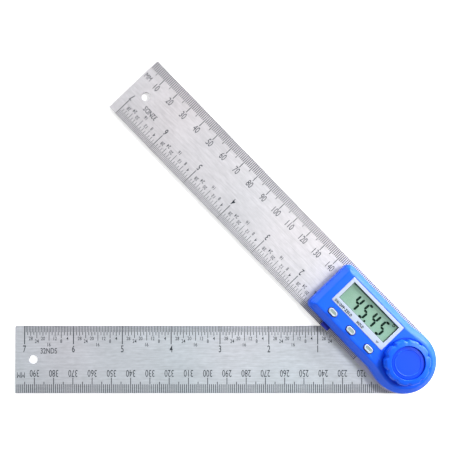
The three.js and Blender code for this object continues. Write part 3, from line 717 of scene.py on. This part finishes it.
def dress_nodes():
    """Every CAD node gets its slot's material, and the upper ruler the one of its own arm."""
    for subpart in frame["record"]["subparts"]:
        mesh = frame["nodes"][subpart["node"]].data
        mesh.materials.clear()
        mesh.materials.append(SLOT_MATERIALS[subpart["material_slot"]])
    frame["nodes"]["upper_ruler"].data.materials[0] = UPPER_STEEL


# Lettering and graduations

# A letter's own measures, in a text height of 1
LETTER_MERGE = 0.0002
CAPITAL_HEIGHT = 0.74
PLAIN_WEIGHT = 0.008
BOLD_WEIGHT = 0.06
R_WEIGHT = 0.03
BOLD_GAP = 0.13

NUMBER_HEIGHT = 3.6 * MM
NUMBER_WIDTH = 0.66
SMALL_NUMBER_HEIGHT = 1.9 * MM
SMALL_NUMBER_WIDTH = 0.8
UNIT_HEIGHT = 2.9 * MM


def letter_mesh(text, weight):
    """Flat raised lettering, one unit high or so, as a mesh about its own middle."""
    curve = bpy.data.curves.new("lettering", "FONT")
    curve.body = text
    curve.offset = weight
    curve.space_character = 1 + weight
    curve.resolution_u = 3
    curve.extrude = 0.5
    made = bpy.data.objects.new("lettering", curve)
    bpy.context.scene.collection.objects.link(made)
    ready = made.evaluated_get(bpy.context.evaluated_depsgraph_get())
    mesh = bpy.data.meshes.new_from_object(ready)
    bpy.data.objects.remove(made)
    clean = bmesh.new()
    clean.from_mesh(mesh)
    bmesh.ops.remove_doubles(clean, verts=clean.verts, dist=LETTER_MERGE)
    bmesh.ops.dissolve_degenerate(clean, dist=LETTER_MERGE, edges=clean.edges)
    bmesh.ops.recalc_face_normals(clean, faces=clean.faces)
    clean.to_mesh(mesh)
    clean.free()
    low, high = extent([vertex.co for vertex in mesh.vertices])
    mesh.transform(Matrix.Translation(-(low + high) / 2))
    return mesh, high - low


def add_text(bm, text, place, height, condensed, facing=1, weight=PLAIN_WEIGHT):
    """Lettering of a given height, centred on a place. facing -1 turns it upside down."""
    mesh, size = letter_mesh(text, weight)
    scale = height / size.y
    turn = Matrix.Rotation(0 if facing > 0 else math.pi, 4, "Z")
    stretch = Matrix.Diagonal((scale * condensed, scale, INK_THICKNESS, 1))
    mesh.transform(Matrix.Translation(place) @ turn @ stretch)
    bm.from_mesh(mesh)
    bpy.data.meshes.remove(mesh)


def add_bold_word(bm, word, place, height, length):
    """A bold word, letter by letter, because R can't be made as bold as the others."""
    letters = [letter_mesh(letter, R_WEIGHT if letter == "R" else BOLD_WEIGHT) for letter in word]
    width = sum(size.x for mesh, size in letters) + BOLD_GAP * (len(word) - 1)
    scale = length / width
    x = place[0] - length / 2
    for mesh, size in letters:
        spot = Matrix.Translation((x + size.x / 2 * scale, place[1], place[2]))
        mesh.transform(spot @ Matrix.Diagonal((scale, height / CAPITAL_HEIGHT, INK_THICKNESS, 1)))
        bm.from_mesh(mesh)
        bpy.data.meshes.remove(mesh)
        x += (size.x + BOLD_GAP) * scale


def add_tick(bm, x, edge, length, width, height):
    """A line across the ruler from its edge inwards."""
    inward = -length if edge > 0 else length
    middle = Vector((x, edge + inward / 2, height))
    size = Vector((width, length, INK_THICKNESS))
    bmesh.ops.create_cube(bm, size=1, matrix=Matrix.LocRotScale(middle, None, size))


# How far a scale's lines and the middles of its numbers stand in from the edge, in millimetres.
# Each goes by the largest step that divides the place: millimetres, then thirty-seconds of an inch.
MM_LINES = {10: 8.1, 5: 6.0, 1: 4.7}
MM_NUMBERS = {10: 10.3}
INCH_LINES = {32: 9.6, 16: 7.7, 8: 6.4, 4: 5.2, 2: 4.8, 1: 3.3}
INCH_NUMBERS = {32: 12, 16: 9.8, 8: 8.0, 4: 6.6}


def largest_step(steps, count):
    """Of a scale's steps, listed from the largest, the first that divides a place on it."""
    return next(step for step in steps if count % step == 0)


def millimetre_scale(edge, top, first, step):
    """Millimetres from the free end: the value there, and how it changes with each one."""
    bm = bmesh.new()
    facing = 1 if edge > 0 else -1
    for count in range(1, round(RULER_REACH / MM) + 1):
        x = -RULER_REACH + count * MM
        size = largest_step(MM_LINES, count)
        add_tick(bm, x, edge, MM_LINES[size] * MM, MM_TICK_WIDTH, top)
        if size in MM_NUMBERS:
            place = (x, edge - facing * MM_NUMBERS[size] * MM, top)
            number = str(first + step * count)
            add_text(bm, number, place, NUMBER_HEIGHT, NUMBER_WIDTH, facing, 0)
    unit_place = (-RULER_REACH + 3 * MM, edge - facing * 9.4 * MM, top)
    add_text(bm, "MM", unit_place, UNIT_HEIGHT, 0.66, facing, 0)
    return bm


def inch_scale(edge, top, tick_width):
    """Thirty-seconds of an inch, counted from beside the pivot to the free end."""
    bm = bmesh.new()
    facing = 1 if edge > 0 else -1
    for count in range(INCHES * 32 + 1):
        x = -INCH_ZERO - count * INCH / 32
        size = largest_step(INCH_LINES, count)
        width = tick_width * (WHOLE_INCH_WIDER if size == 32 else 1)
        add_tick(bm, x, edge, INCH_LINES[size] * MM, width, top)
        if count == 0 or size not in INCH_NUMBERS:
            continue
        place = (x, edge - facing * INCH_NUMBERS[size] * MM, top)
        if size == 32:
            add_text(bm, str(count // 32), place, NUMBER_HEIGHT, NUMBER_WIDTH, facing)
        else:
            add_text(bm, str(count % 32), place, SMALL_NUMBER_HEIGHT, SMALL_NUMBER_WIDTH, facing)
    unit_place = (-RULER_REACH + 17.4 * MM, edge - facing * 13 * MM, top)
    add_text(bm, "32NDS", unit_place, UNIT_HEIGHT, 0.72, facing)
    return bm


def make_rulers():
    """Both plates with softened edges, and the scales that lie on them."""
    lower_top = arm_box("lower_ruler", LOWER_TURN)[1].z
    upper_top = arm_box("upper_ruler")[1].z
    for arm, steel in [("lower", LOWER_STEEL), ("upper", UPPER_STEEL)]:
        plate = softened(node_copy(f"{arm}_ruler", f"{arm}_arm"), RULER_EDGE)
        piece(
            f"{arm}_ruler_plate", plate, [steel], f"{arm}_arm", [f"{arm}_ruler"],
        )
    lower_mm = millimetre_scale(-RULER_HALF, lower_top, 400, -1)
    lower_inch = inch_scale(RULER_HALF, lower_top, INCH_TICK_WIDTH)
    upper_mm = millimetre_scale(RULER_HALF, upper_top, 0, 1)
    upper_inch = inch_scale(-RULER_HALF, upper_top, UPPER_INCH_TICK_WIDTH)
    piece("lower_mm_marks", lower_mm, [ETCHED], "lower_arm")
    piece("lower_inch_marks", lower_inch, [ETCHED], "lower_arm")
    piece("upper_mm_marks", upper_mm, [ETCHED], "upper_arm")
    piece("upper_inch_marks", upper_inch, [ETCHED], "upper_arm")


# Head

def at_screws(radius, base, top, segments=48):
    """A cylinder on the axis of each of the four case screws."""
    boxes = [arm_box(f"case_screw_{number}") for number in range(1, 5)]
    middles = [(low + high) / 2 for low, high in boxes]
    return [cylinder(middle.x, middle.y, radius, base, top, segments) for middle in middles]


def make_cover():
    """The front shell: a bevelled cover with soft creases, open where other pieces show."""
    bevel_base = CASE_TOP - BEVEL_RISE
    outside = rounded(
        [
            (SPLIT_GROOVE, CASE_SPLIT),
            (0, CASE_SPLIT + SPLIT_GROOVE),
            (0, bevel_base),
            (BEVEL_RUN, CASE_TOP),
            (BEVEL_RUN + 1 * MM, CASE_TOP),
        ],
        [0, BEVEL_LOWER_CREASE, BEVEL_UPPER_CREASE],
    )
    slope = math.atan2(BEVEL_RISE, BEVEL_RUN)
    drop = CASE_WALL * math.tan(slope / 2)
    ceiling_inset = CASE_WALL + (CASE_CEILING - bevel_base + drop) * BEVEL_RUN / BEVEL_RISE
    hollow = [
        (CASE_WALL, CASE_SPLIT - OVERRUN),
        (CASE_WALL, bevel_base - drop),
        (ceiling_inset, CASE_CEILING),
    ]
    solid = raised(case_outline, outside)
    cover = combined(solid, [raised(case_outline, hollow)], "DIFFERENCE")
    pocket_radius = arm_box("thrust_washer")[1].x + FIT
    hub = cylinder(0, 0, pocket_radius + HUB_WALL, HUB_BASE, HUB_TOP, 96)
    posts = at_screws(SCREW_POST_RADIUS, CASE_FLOOR, CASE_CEILING + 0.1 * MM)
    cover = combined(cover, [hub, *posts], "UNION")
    holes = at_screws(SCREW_HOLE_RADIUS, CASE_BASE, CASE_CEILING - 2 * MM, 32)
    bezel_low, bezel_high = arm_box("bezel_plate")
    lens_low, lens_high = arm_box("display_lens")
    grow = Vector((FIT, FIT, 0))
    rise = Vector((0, 0, OVERRUN))
    lens_hole_top = Vector((lens_high.x, lens_high.y, bezel_low.z + 0.1 * MM))
    holes.append(block(bezel_low - grow, bezel_high + grow + rise))
    holes.append(block(lens_low - grow - rise, lens_hole_top + grow))
    for name in BUTTONS:
        low, high = button_stem(name)
        outline = obround(low, high, -BUTTON_GAP)
        holes.append(loft([(outline, CASE_CEILING - OVERRUN), (outline, CASE_TOP + OVERRUN)]))
    pocket_base = arm_box("wave_spring")[0].z
    holes.append(cylinder(0, 0, pocket_radius, pocket_base, CASE_TOP + OVERRUN, 96))
    holes.append(cylinder(0, 0, KNOB_BORE, CASE_SPLIT, CASE_TOP))
    holes.append(spun([
        (MOAT_INSIDE, MOAT_FLOOR),
        (MOAT_OUTSIDE, MOAT_FLOOR),
        (MOAT_OUTSIDE, CASE_TOP + OVERRUN),
        (MOAT_INSIDE, CASE_TOP + OVERRUN),
    ]))
    cover = tidied(combined(cover, holes, "DIFFERENCE"))

    def on_top(edge):
        return all(abs(vertex.co.z - CASE_TOP) < MM / 100 for vertex in edge.verts)

    softened(cover, TOP_EDGE, on_top, segments=3, sharper_than=60)
    piece("head_cover", cover, [BLUE], "upper_arm", ["front_shell"], smooth=30)


def make_base():
    """The base shell: a floor and a low wall with ledges inside, notched for the drawer."""
    outside = rounded(
        [
            (SPLIT_GROOVE, CASE_BASE),
            (0, CASE_BASE + SPLIT_GROOVE),
            (0, CASE_SPLIT - SPLIT_GROOVE),
            (SPLIT_GROOVE, CASE_SPLIT),
        ],
        [0, 0],
    )
    hollow = [(CASE_WALL, CASE_FLOOR), (CASE_WALL, CASE_SPLIT + OVERRUN)]
    solid = raised(case_outline, outside)
    base = combined(solid, [raised(case_outline, hollow)], "DIFFERENCE")
    drawer_low, drawer_high = arm_box("battery_drawer")
    wall_inside = CASE_HALF - CASE_WALL
    overlap = 0.6 * MM
    ledge_inside = wall_inside - 2.4 * MM
    ledge_outside = wall_inside + overlap
    ledge_near = -11.3 * MM
    ledge_base = CASE_FLOOR - 0.5 * MM
    ledge_top = CASE_SPLIT - 0.01 * MM
    ledges = [
        block(
            (-CASE_REACH + 7.6 * MM, ledge_inside, ledge_base),
            (ledge_near, ledge_outside, ledge_top),
        ),
        block(
            (drawer_high.x + 0.9 * MM, -ledge_outside, ledge_base),
            (ledge_near, -ledge_inside, ledge_top),
        ),
    ]
    base = combined(base, ledges, "UNION")
    bush_radius = arm_box("pivot_bush")[1].x
    holes = [
        block(
            (drawer_low.x - FIT, -CASE_HALF - OVERRUN, CASE_FLOOR),
            (drawer_high.x + FIT, -wall_inside + overlap, CASE_SPLIT + OVERRUN),
        ),
        cylinder(0, 0, bush_radius + FIT, CASE_BASE - OVERRUN, CASE_SPLIT, 72),
        *at_screws(SCREW_HOLE_RADIUS, CASE_BASE - OVERRUN, CASE_SPLIT, 32),
    ]
    base = tidied(combined(base, holes, "DIFFERENCE"))
    piece("head_base", base, [BLUE], "upper_arm", ["base_shell"], smooth=30)


def button_stem(name):
    """The lowest and highest corners of a button's stem, without its flange."""
    low, high = arm_box(name)
    grow = Vector((BUTTON_FLANGE, BUTTON_FLANGE, 0))
    return low + grow, high - grow


def make_buttons():
    """Each button: a white rim round a greyer, slightly dished face, and a navy stem and flange.
    The white rim is a painted highlight on its rounded edge, the grey face painted shade in its
    dish, and the navy painted shade in the gap round the button.
    """
    for name, body in BUTTONS.items():
        low, high = button_stem(name)
        flange_top = low.z + BUTTON_FLANGE_HEIGHT
        profile = rounded(
            [
                (-BUTTON_FLANGE, low.z),
                (-BUTTON_FLANGE, flange_top),
                (0, flange_top),
                (0, BUTTON_PAINTED_SHADE_TOP),
                (0, high.z),
                (0.55 * MM, high.z),
                (0.7 * MM, high.z - BUTTON_DISH),
                (0.9 * MM, high.z - BUTTON_DISH),
            ],
            [0, 0, 0, 0.35 * MM, 0.1 * MM, 0.06 * MM],
        )
        cap = raised(lambda inset: obround(low, high, inset), profile)
        surfaces = [WHITE, GREY, NAVY_PAINTED_SHADE]
        # Painted light: the flat face in the dish is grey as its shade, all below the cover's top
        # navy as shade in the gap, and the rest white as a highlight on the rim
        for face in cap.faces:
            height = face.calc_center_median().z
            if height < BUTTON_PAINTED_SHADE_TOP:
                face.material_index = surfaces.index(NAVY_PAINTED_SHADE)
            elif face.normal.z > 0.9 and height < high.z - BUTTON_DISH / 2:
                face.material_index = surfaces.index(GREY)
        piece(f"{name}_cap", cap, surfaces, body, [name])


def make_bezel():
    """The white plate round the window, with the names of the buttons under it."""
    low, high = arm_box("bezel_plate")
    window_low, window_high = window_box()
    soft = 0.12 * MM
    corner = 0.35 * MM
    window_corner = 0.25 * MM

    def outer(inset):
        return rounded_box(low, high, inset, corner)

    def inner(inset):
        return rounded_box(window_low, window_high, -inset, window_corner)

    plate = loft(
        [
            (outer(0), low.z),
            (outer(0), high.z - soft),
            (outer(soft / 3), high.z - soft / 3),
            (outer(soft), high.z),
            (inner(soft), high.z),
            (inner(soft / 3), high.z - soft / 3),
            (inner(0), high.z - soft),
            (inner(0), low.z),
        ],
        closed=True,
    )
    piece("bezel", plate, [WHITE], "upper_arm", ["bezel_plate"])
    strip = (low.y + window_low.y) / 2 - 0.4 * MM
    power, hold, mode = (sum(end.x for end in arm_box(name)) / 2 for name in BUTTONS)
    power_place = (power + 1.95 * MM, strip, high.z)
    hold_place = (hold + 1.25 * MM, strip, high.z)
    mode_place = (mode + 0.6 * MM, strip, high.z)
    label_height = 1.4 * MM
    labels = bmesh.new()
    add_bold_word(labels, "ON/OFF-ZERO", power_place, label_height, 11.8 * MM)
    add_bold_word(labels, "HOLD", hold_place, label_height, 4.4 * MM)
    add_text(labels, "°/°", mode_place, 1.2 * MM, 0.92, weight=BOLD_WEIGHT)
    piece("button_names", labels, [PRINT], "upper_arm")


# Display

WINDOW_MARGIN = 0.8 * MM
# The dark frame at the window's edge is painted shade: how far it reaches into the window and under
# the bezel, and its corners
BORDER_INSET = 0.3 * MM
BORDER_UNDER_BEZEL = 0.7 * MM
BORDER_CORNER = 0.3 * MM
READING = "4545"
DIGITS_FROM_RIGHT = 23.3 * MM
DIGITS_FROM_BOTTOM = 0.3 * MM
DIGIT_WIDTH = 3.7 * MM
DIGIT_HEIGHT = 9 * MM
DIGIT_PITCH = 5.95 * MM
DIGIT_STROKE = 1.2 * MM
DIGIT_GAP = 0.08 * MM
DIGIT_LEAN = 0.05
DIGIT_SEGMENTS = {"4": "bcfg", "5": "acdfg"}
POINT_RADIUS = 0.55 * MM
DEGREE_RADIUS = 0.75 * MM
DEGREE_HOLE = 0.4 * MM
DEGREE_FROM_RIGHT = 2.3 * MM
DEGREE_FROM_TOP = 1.1 * MM
DISPLAY_INK = INK_THICKNESS / 2


def window_box():
    """What the bezel leaves open, from the lens that reaches a little past it all round."""
    low, high = arm_box("display_lens")
    margin = Vector((WINDOW_MARGIN, WINDOW_MARGIN, 0))
    return low + margin, high - margin


def segment_outline(start, end):
    """A bar between two points with pointed ends, short of them by the gap."""
    start, end = Vector(start), Vector(end)
    along = (end - start).normalized()
    across = Vector((-along.y, along.x)) * DIGIT_STROKE / 2
    tip_start = start + along * DIGIT_GAP
    tip_end = end - along * DIGIT_GAP
    shoulder = along * DIGIT_STROKE / 2
    return [
        tip_start,
        tip_start + shoulder - across,
        tip_end - shoulder - across,
        tip_end,
        tip_end - shoulder + across,
        tip_start + shoulder + across,
    ]


def add_flat(bm, outline, height):
    """A thin flat piece of display ink."""
    verts = [bm.verts.new((x, y, height)) for x, y in outline]
    face = bm.faces.new(verts)
    grown = bmesh.ops.extrude_face_region(bm, geom=[face])
    upper = [item for item in grown["geom"] if isinstance(item, bmesh.types.BMVert)]
    bmesh.ops.translate(bm, vec=(0, 0, DISPLAY_INK), verts=upper)


def make_display():
    """The reading in seven-segment digits on the display glass, and a dark frame at the window's
    edge, painted shade for the window's shadow and walls.
    """
    low, high = window_box()
    height = arm_box("display_glass")[1].z
    middle_y = low.y + DIGITS_FROM_BOTTOM + DIGIT_HEIGHT / 2
    first_x = high.x - DIGITS_FROM_RIGHT
    half_w = (DIGIT_WIDTH - DIGIT_STROKE) / 2
    half_h = (DIGIT_HEIGHT - DIGIT_STROKE) / 2
    ends = {
        "a": ((-half_w, half_h), (half_w, half_h)),
        "b": ((half_w, half_h), (half_w, 0)),
        "c": ((half_w, 0), (half_w, -half_h)),
        "d": ((-half_w, -half_h), (half_w, -half_h)),
        "f": ((-half_w, half_h), (-half_w, 0)),
        "g": ((-half_w, 0), (half_w, 0)),
    }

    def circle(centre_x, centre_y, radius):
        return arc(centre_x, centre_y, radius, 0, 2 * math.pi, 24)[:-1]

    top = height + DISPLAY_INK
    degree_place = (high.x - DEGREE_FROM_RIGHT, high.y - DEGREE_FROM_TOP)
    outer = circle(*degree_place, DEGREE_RADIUS)
    inner = circle(*degree_place, DEGREE_HOLE)
    bm = loft([(outer, height), (outer, top), (inner, top), (inner, height)], closed=True)
    for index, digit in enumerate(READING):
        middle_x = first_x + index * DIGIT_PITCH
        for segment in DIGIT_SEGMENTS[digit]:
            outline = segment_outline(*ends[segment])
            leaning = [(middle_x + x + DIGIT_LEAN * y, middle_y + y) for x, y in outline]
            add_flat(bm, leaning, height)
    point_x = first_x + (len(READING) - 1) / 2 * DIGIT_PITCH
    add_flat(bm, circle(point_x, middle_y - half_h, POINT_RADIUS), height)
    bmesh.ops.recalc_face_normals(bm, faces=bm.faces)
    piece("display_digits", bm, [SEGMENTS], "upper_arm")
    # A dark frame on the glass at the window's edge: painted shade for the window's shadow and
    # walls
    outer = rounded_box(low, high, -BORDER_UNDER_BEZEL, BORDER_CORNER)
    inner = rounded_box(low, high, BORDER_INSET, BORDER_CORNER)
    border = loft([(outer, height), (outer, top), (inner, top), (inner, height)], closed=True)
    piece("display_edge_painted_shade", border, [PAINTED_WINDOW_SHADE], "upper_arm")


def make_lens():
    """The clear window over the display, its edges broken, just above the digits."""
    low, high = arm_box("display_lens")
    underside = low.z + 2 * INK_THICKNESS
    broken = 0.12 * MM
    profile = [
        (broken, underside),
        (0, underside + broken),
        (0, high.z - broken),
        (broken, high.z),
    ]
    lens = raised(lambda inset: rounded_box(low, high, inset, 0.4 * MM), profile)
    piece("display_window", lens, [LENS], "upper_arm", ["display_lens"])


# Knob

def make_knob():
    """The lock knob: a crowned ring whose rim is drawn in at its notches, and a plain cap in a
    darker blue, painted shade for the recess it sits in.
    """
    base, top = KNOB_LOW.z, KNOB_HIGH.z
    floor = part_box("knob_cap")[0].z
    profile = rounded(
        [
            (KNOB_BORE, base),
            (KNOB_RADIUS, base),
            (KNOB_RADIUS, top - KNOB_CROWN_FALL),
            (KNOB_RECESS, top),
            (KNOB_RECESS, floor),
            (KNOB_POCKET, floor),
            (KNOB_POCKET, KNOB_NUT_FLOOR),
            (KNOB_BORE, KNOB_NUT_FLOOR),
        ],
        [KNOB_SOFT_EDGE, KNOB_SHOULDER, KNOB_SOFT_EDGE, 0, 0, 0],
        steps=8,
    )
    knob = spun(profile, KNOB_STEPS)
    notch_start = KNOB_RECESS + KNOB_SOFT_EDGE
    step = 2 * math.pi / KNOB_NOTCHES
    for vertex in knob.verts:
        radius = vertex.co.xy.length
        if radius <= notch_start:
            continue
        angle = math.atan2(vertex.co.y, vertex.co.x) - KNOB_NOTCH_START
        aside = abs((angle + step / 2) % step - step / 2) * KNOB_RADIUS
        if aside >= KNOB_NOTCH_HALF:
            continue
        wave = 0.5 + 0.5 * math.cos(math.pi * aside / KNOB_NOTCH_HALF)
        dip = wave ** KNOB_NOTCH_SHARPNESS
        reach = (radius - notch_start) / (KNOB_RADIUS - notch_start)
        vertex.co.xy *= (radius - KNOB_NOTCH_DEPTH * dip * reach) / radius
    piece("knob_body", knob, [BLUE], "knob", ["lock_knob"], smooth=50)

    cap_low, cap_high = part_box("knob_cap")
    ring_top = cap_high.z
    face = ring_top - CAP_RING_HEIGHT
    radius = cap_high.x
    slant = 0.1 * MM
    profile = rounded(
        [
            (0, cap_low.z),
            (radius, cap_low.z),
            (radius, face),
            (CAP_RING_OUTSIDE, face),
            (CAP_RING_OUTSIDE - slant, ring_top),
            (CAP_RING_INSIDE + slant, ring_top),
            (CAP_RING_INSIDE, face),
            (0, face),
        ],
        [0, 0.2 * MM, 0.1 * MM, 0.08 * MM, 0.08 * MM, 0.1 * MM],
    )
    cap = spun(profile, 120)
    # The cap's darker blue is painted shade in the recess
    piece("knob_cap_disc", cap, [CAP_BLUE_PAINTED_SHADE], "knob", ["knob_cap"], smooth=50)


# Coin cell, seen when the drawer is out

def make_coin_cell():
    """A rounded can, plus side up, with its mark pressed in, and the smaller cap below."""
    low, high = arm_box("coin_cell")
    x, y = (low.x + high.x) / 2, (low.y + high.y) / 2
    radius = (high.x - low.x) / 2
    cap_radius = radius - 1.4 * MM
    can_base = low.z + 0.35 * MM
    plateau_radius = radius - 1 * MM
    shoulder = high.z - 0.12 * MM
    profile = rounded(
        [
            (0, low.z),
            (cap_radius, low.z),
            (cap_radius, can_base),
            (radius, can_base),
            (radius, shoulder),
            (plateau_radius, shoulder),
            (plateau_radius - 0.3 * MM, high.z),
            (0, high.z),
        ],
        [0.15 * MM, 0, 0.2 * MM, 0.4 * MM, 0.1 * MM, 0.2 * MM],
    )
    cell = spun(profile, 120, x, y)
    arm, half, depth = 1.7 * MM, 0.25 * MM, 0.08 * MM
    marks = [
        block((x - across, y - along, high.z - depth), (x + across, y + along, high.z + depth))
        for across, along in [(arm, half), (half, arm)]
    ]
    cell = tidied(combined(cell, marks, "DIFFERENCE"))
    piece("coin_cell_finished", cell, [PLATED], "drawer", ["coin_cell"])


# Other pieces whose CAD edges are softened

def make_small_pieces():
    """Each of them as the CAD has it, with its sharp edges rounded by so many millimetres."""
    jobs = [
        # The drawer's dark navy is painted shade: its tab lies in the housing's shadow
        ("battery_drawer", "drawer", NAVY_PAINTED_SHADE, 0.18),
        ("pivot_stud", "lower_arm", STUD_STEEL, 0.12),
        ("friction_washer", "lower_arm", WHITE, 0.05),
        ("thrust_washer", "upper_arm", WHITE, 0.1),
        ("pivot_bush", "upper_arm", BRASS, 0.1),
        ("controller_chip", "upper_arm", RESIN, 0.08),
    ]
    for number in range(1, 5):
        jobs.append((f"case_screw_{number}", "upper_arm", PLATED, 0.06))
    for name, body, surface, width in jobs:
        bm = softened(node_copy(name, body), width * MM)
        piece(f"{name}_finished", bm, [surface], body, [name])


# Floor, light and camera

def make_stage():
    """A floor of matt paper. The camera sees it lit to near white, the more so further out."""
    made, tree, shader, vector = material("floor_paper", {
        "Base Color": (0.9, 0.9, 0.9, 1), "Roughness": 0.9, "Emission Color": (1, 1, 1, 1),
    })
    to_camera = node(tree, "LightPath").outputs["Is Camera Ray"]
    away = node(tree, "VectorMath", {0: vector}, operation="LENGTH").outputs["Value"]
    paler = node(tree, "MapRange", {
        "Value": away, "From Min": 0.3, "From Max": 1.2, "To Min": 0.55, "To Max": 0.9,
    })
    glow = node(tree, "Math", {0: to_camera, 1: paler}, operation="MULTIPLY")
    feed(tree, shader, {"Emission Strength": glow})
    bm = bmesh.new()
    bmesh.ops.create_grid(bm, x_segments=1, y_segments=1, size=4)
    bmesh.ops.translate(bm, vec=(0, 0, -0.02 * MM), verts=bm.verts)
    floor = mesh_object("floor", bm)
    floor.data.materials.append(made)


def make_light():
    """A dim even sky, brighter in reflections and white to the camera, and four soft lamps."""
    world = bpy.data.worlds.new("studio")
    bpy.context.scene.world = world
    world.use_nodes = True
    tree = world.node_tree
    path = node(tree, "LightPath").outputs
    strength = ranged(tree, path["Is Glossy Ray"], 0.22, 0.72)
    seen = node(tree, "Math", {0: path["Is Camera Ray"], 1: strength}, operation="MAXIMUM")
    feed(tree, tree.nodes["Background"], {"Color": (1, 1, 1, 1), "Strength": seen})
    # each lamp: which way along and across the upper arm, how high and far, its sides, its power
    lamps = [
        ("main_light", (0.5, 1), 56, 1.0, (0.23, 0.23), 6.2),
        ("window_light", (0, 1), 14, 0.7, (0.59, 0.46), 15.7),
        ("second_light", (-1, 0.2), 18, 1.2, (0.8, 0.6), 5),
        ("fill_light", (0.2, -1), 20, 1.2, (0.8, 0.6), 3.5),
    ]
    head = Vector((-0.02, 0.02, 0.01))
    for name, across, rise, distance, sides, power in lamps:
        lamp = bpy.data.lights.new(name, "AREA")
        lamp.shape = "RECTANGLE"
        lamp.size, lamp.size_y = sides
        lamp.energy = power
        level = (UPPER_TURN @ Vector((*across, 0))).normalized()
        angle = math.radians(rise)
        away = level * math.cos(angle) + Vector((0, 0, math.sin(angle)))
        holder = bpy.data.objects.new(name, lamp)
        holder.location = head + away * distance
        holder.rotation_euler = away.to_track_quat("Z", "Y").to_euler()
        bpy.context.scene.collection.objects.link(holder)


# The photograph looks nearly straight down. This is where its middle lies, and how wide it is at
# the rulers.
PICTURE_MIDDLE = Vector((-91 * MM, 69.85 * MM))
PICTURE_WIDTH = 233.6 * MM
CAMERA_Y = 41 * MM
CAMERA_HEIGHT = 360 * MM
CAMERA_TILT = math.radians(1.4)


def make_camera():
    """A camera that faces nearly straight down, shifted to the photograph's own middle."""
    data = bpy.data.cameras.new("camera")
    data.sensor_width = 36
    data.lens = data.sensor_width * CAMERA_HEIGHT / PICTURE_WIDTH
    aimed_y = CAMERA_Y + CAMERA_HEIGHT * math.tan(CAMERA_TILT)
    data.shift_y = (PICTURE_MIDDLE.y - aimed_y) / PICTURE_WIDTH
    camera = bpy.data.objects.new("camera", data)
    ruler_top = arm_box("upper_ruler")[1].z
    camera.location = (PICTURE_MIDDLE.x, CAMERA_Y, ruler_top + CAMERA_HEIGHT)
    camera.rotation_euler = (CAMERA_TILT, 0, 0)
    bpy.context.scene.collection.objects.link(camera)
    bpy.context.scene.camera = camera
    bpy.context.scene.view_settings.view_transform = "Standard"


dress_nodes()
make_rulers()
make_cover()
make_base()
make_buttons()
make_bezel()
make_display()
make_lens()
make_knob()
make_coin_cell()
make_small_pieces()
make_stage()
make_light()
make_camera()
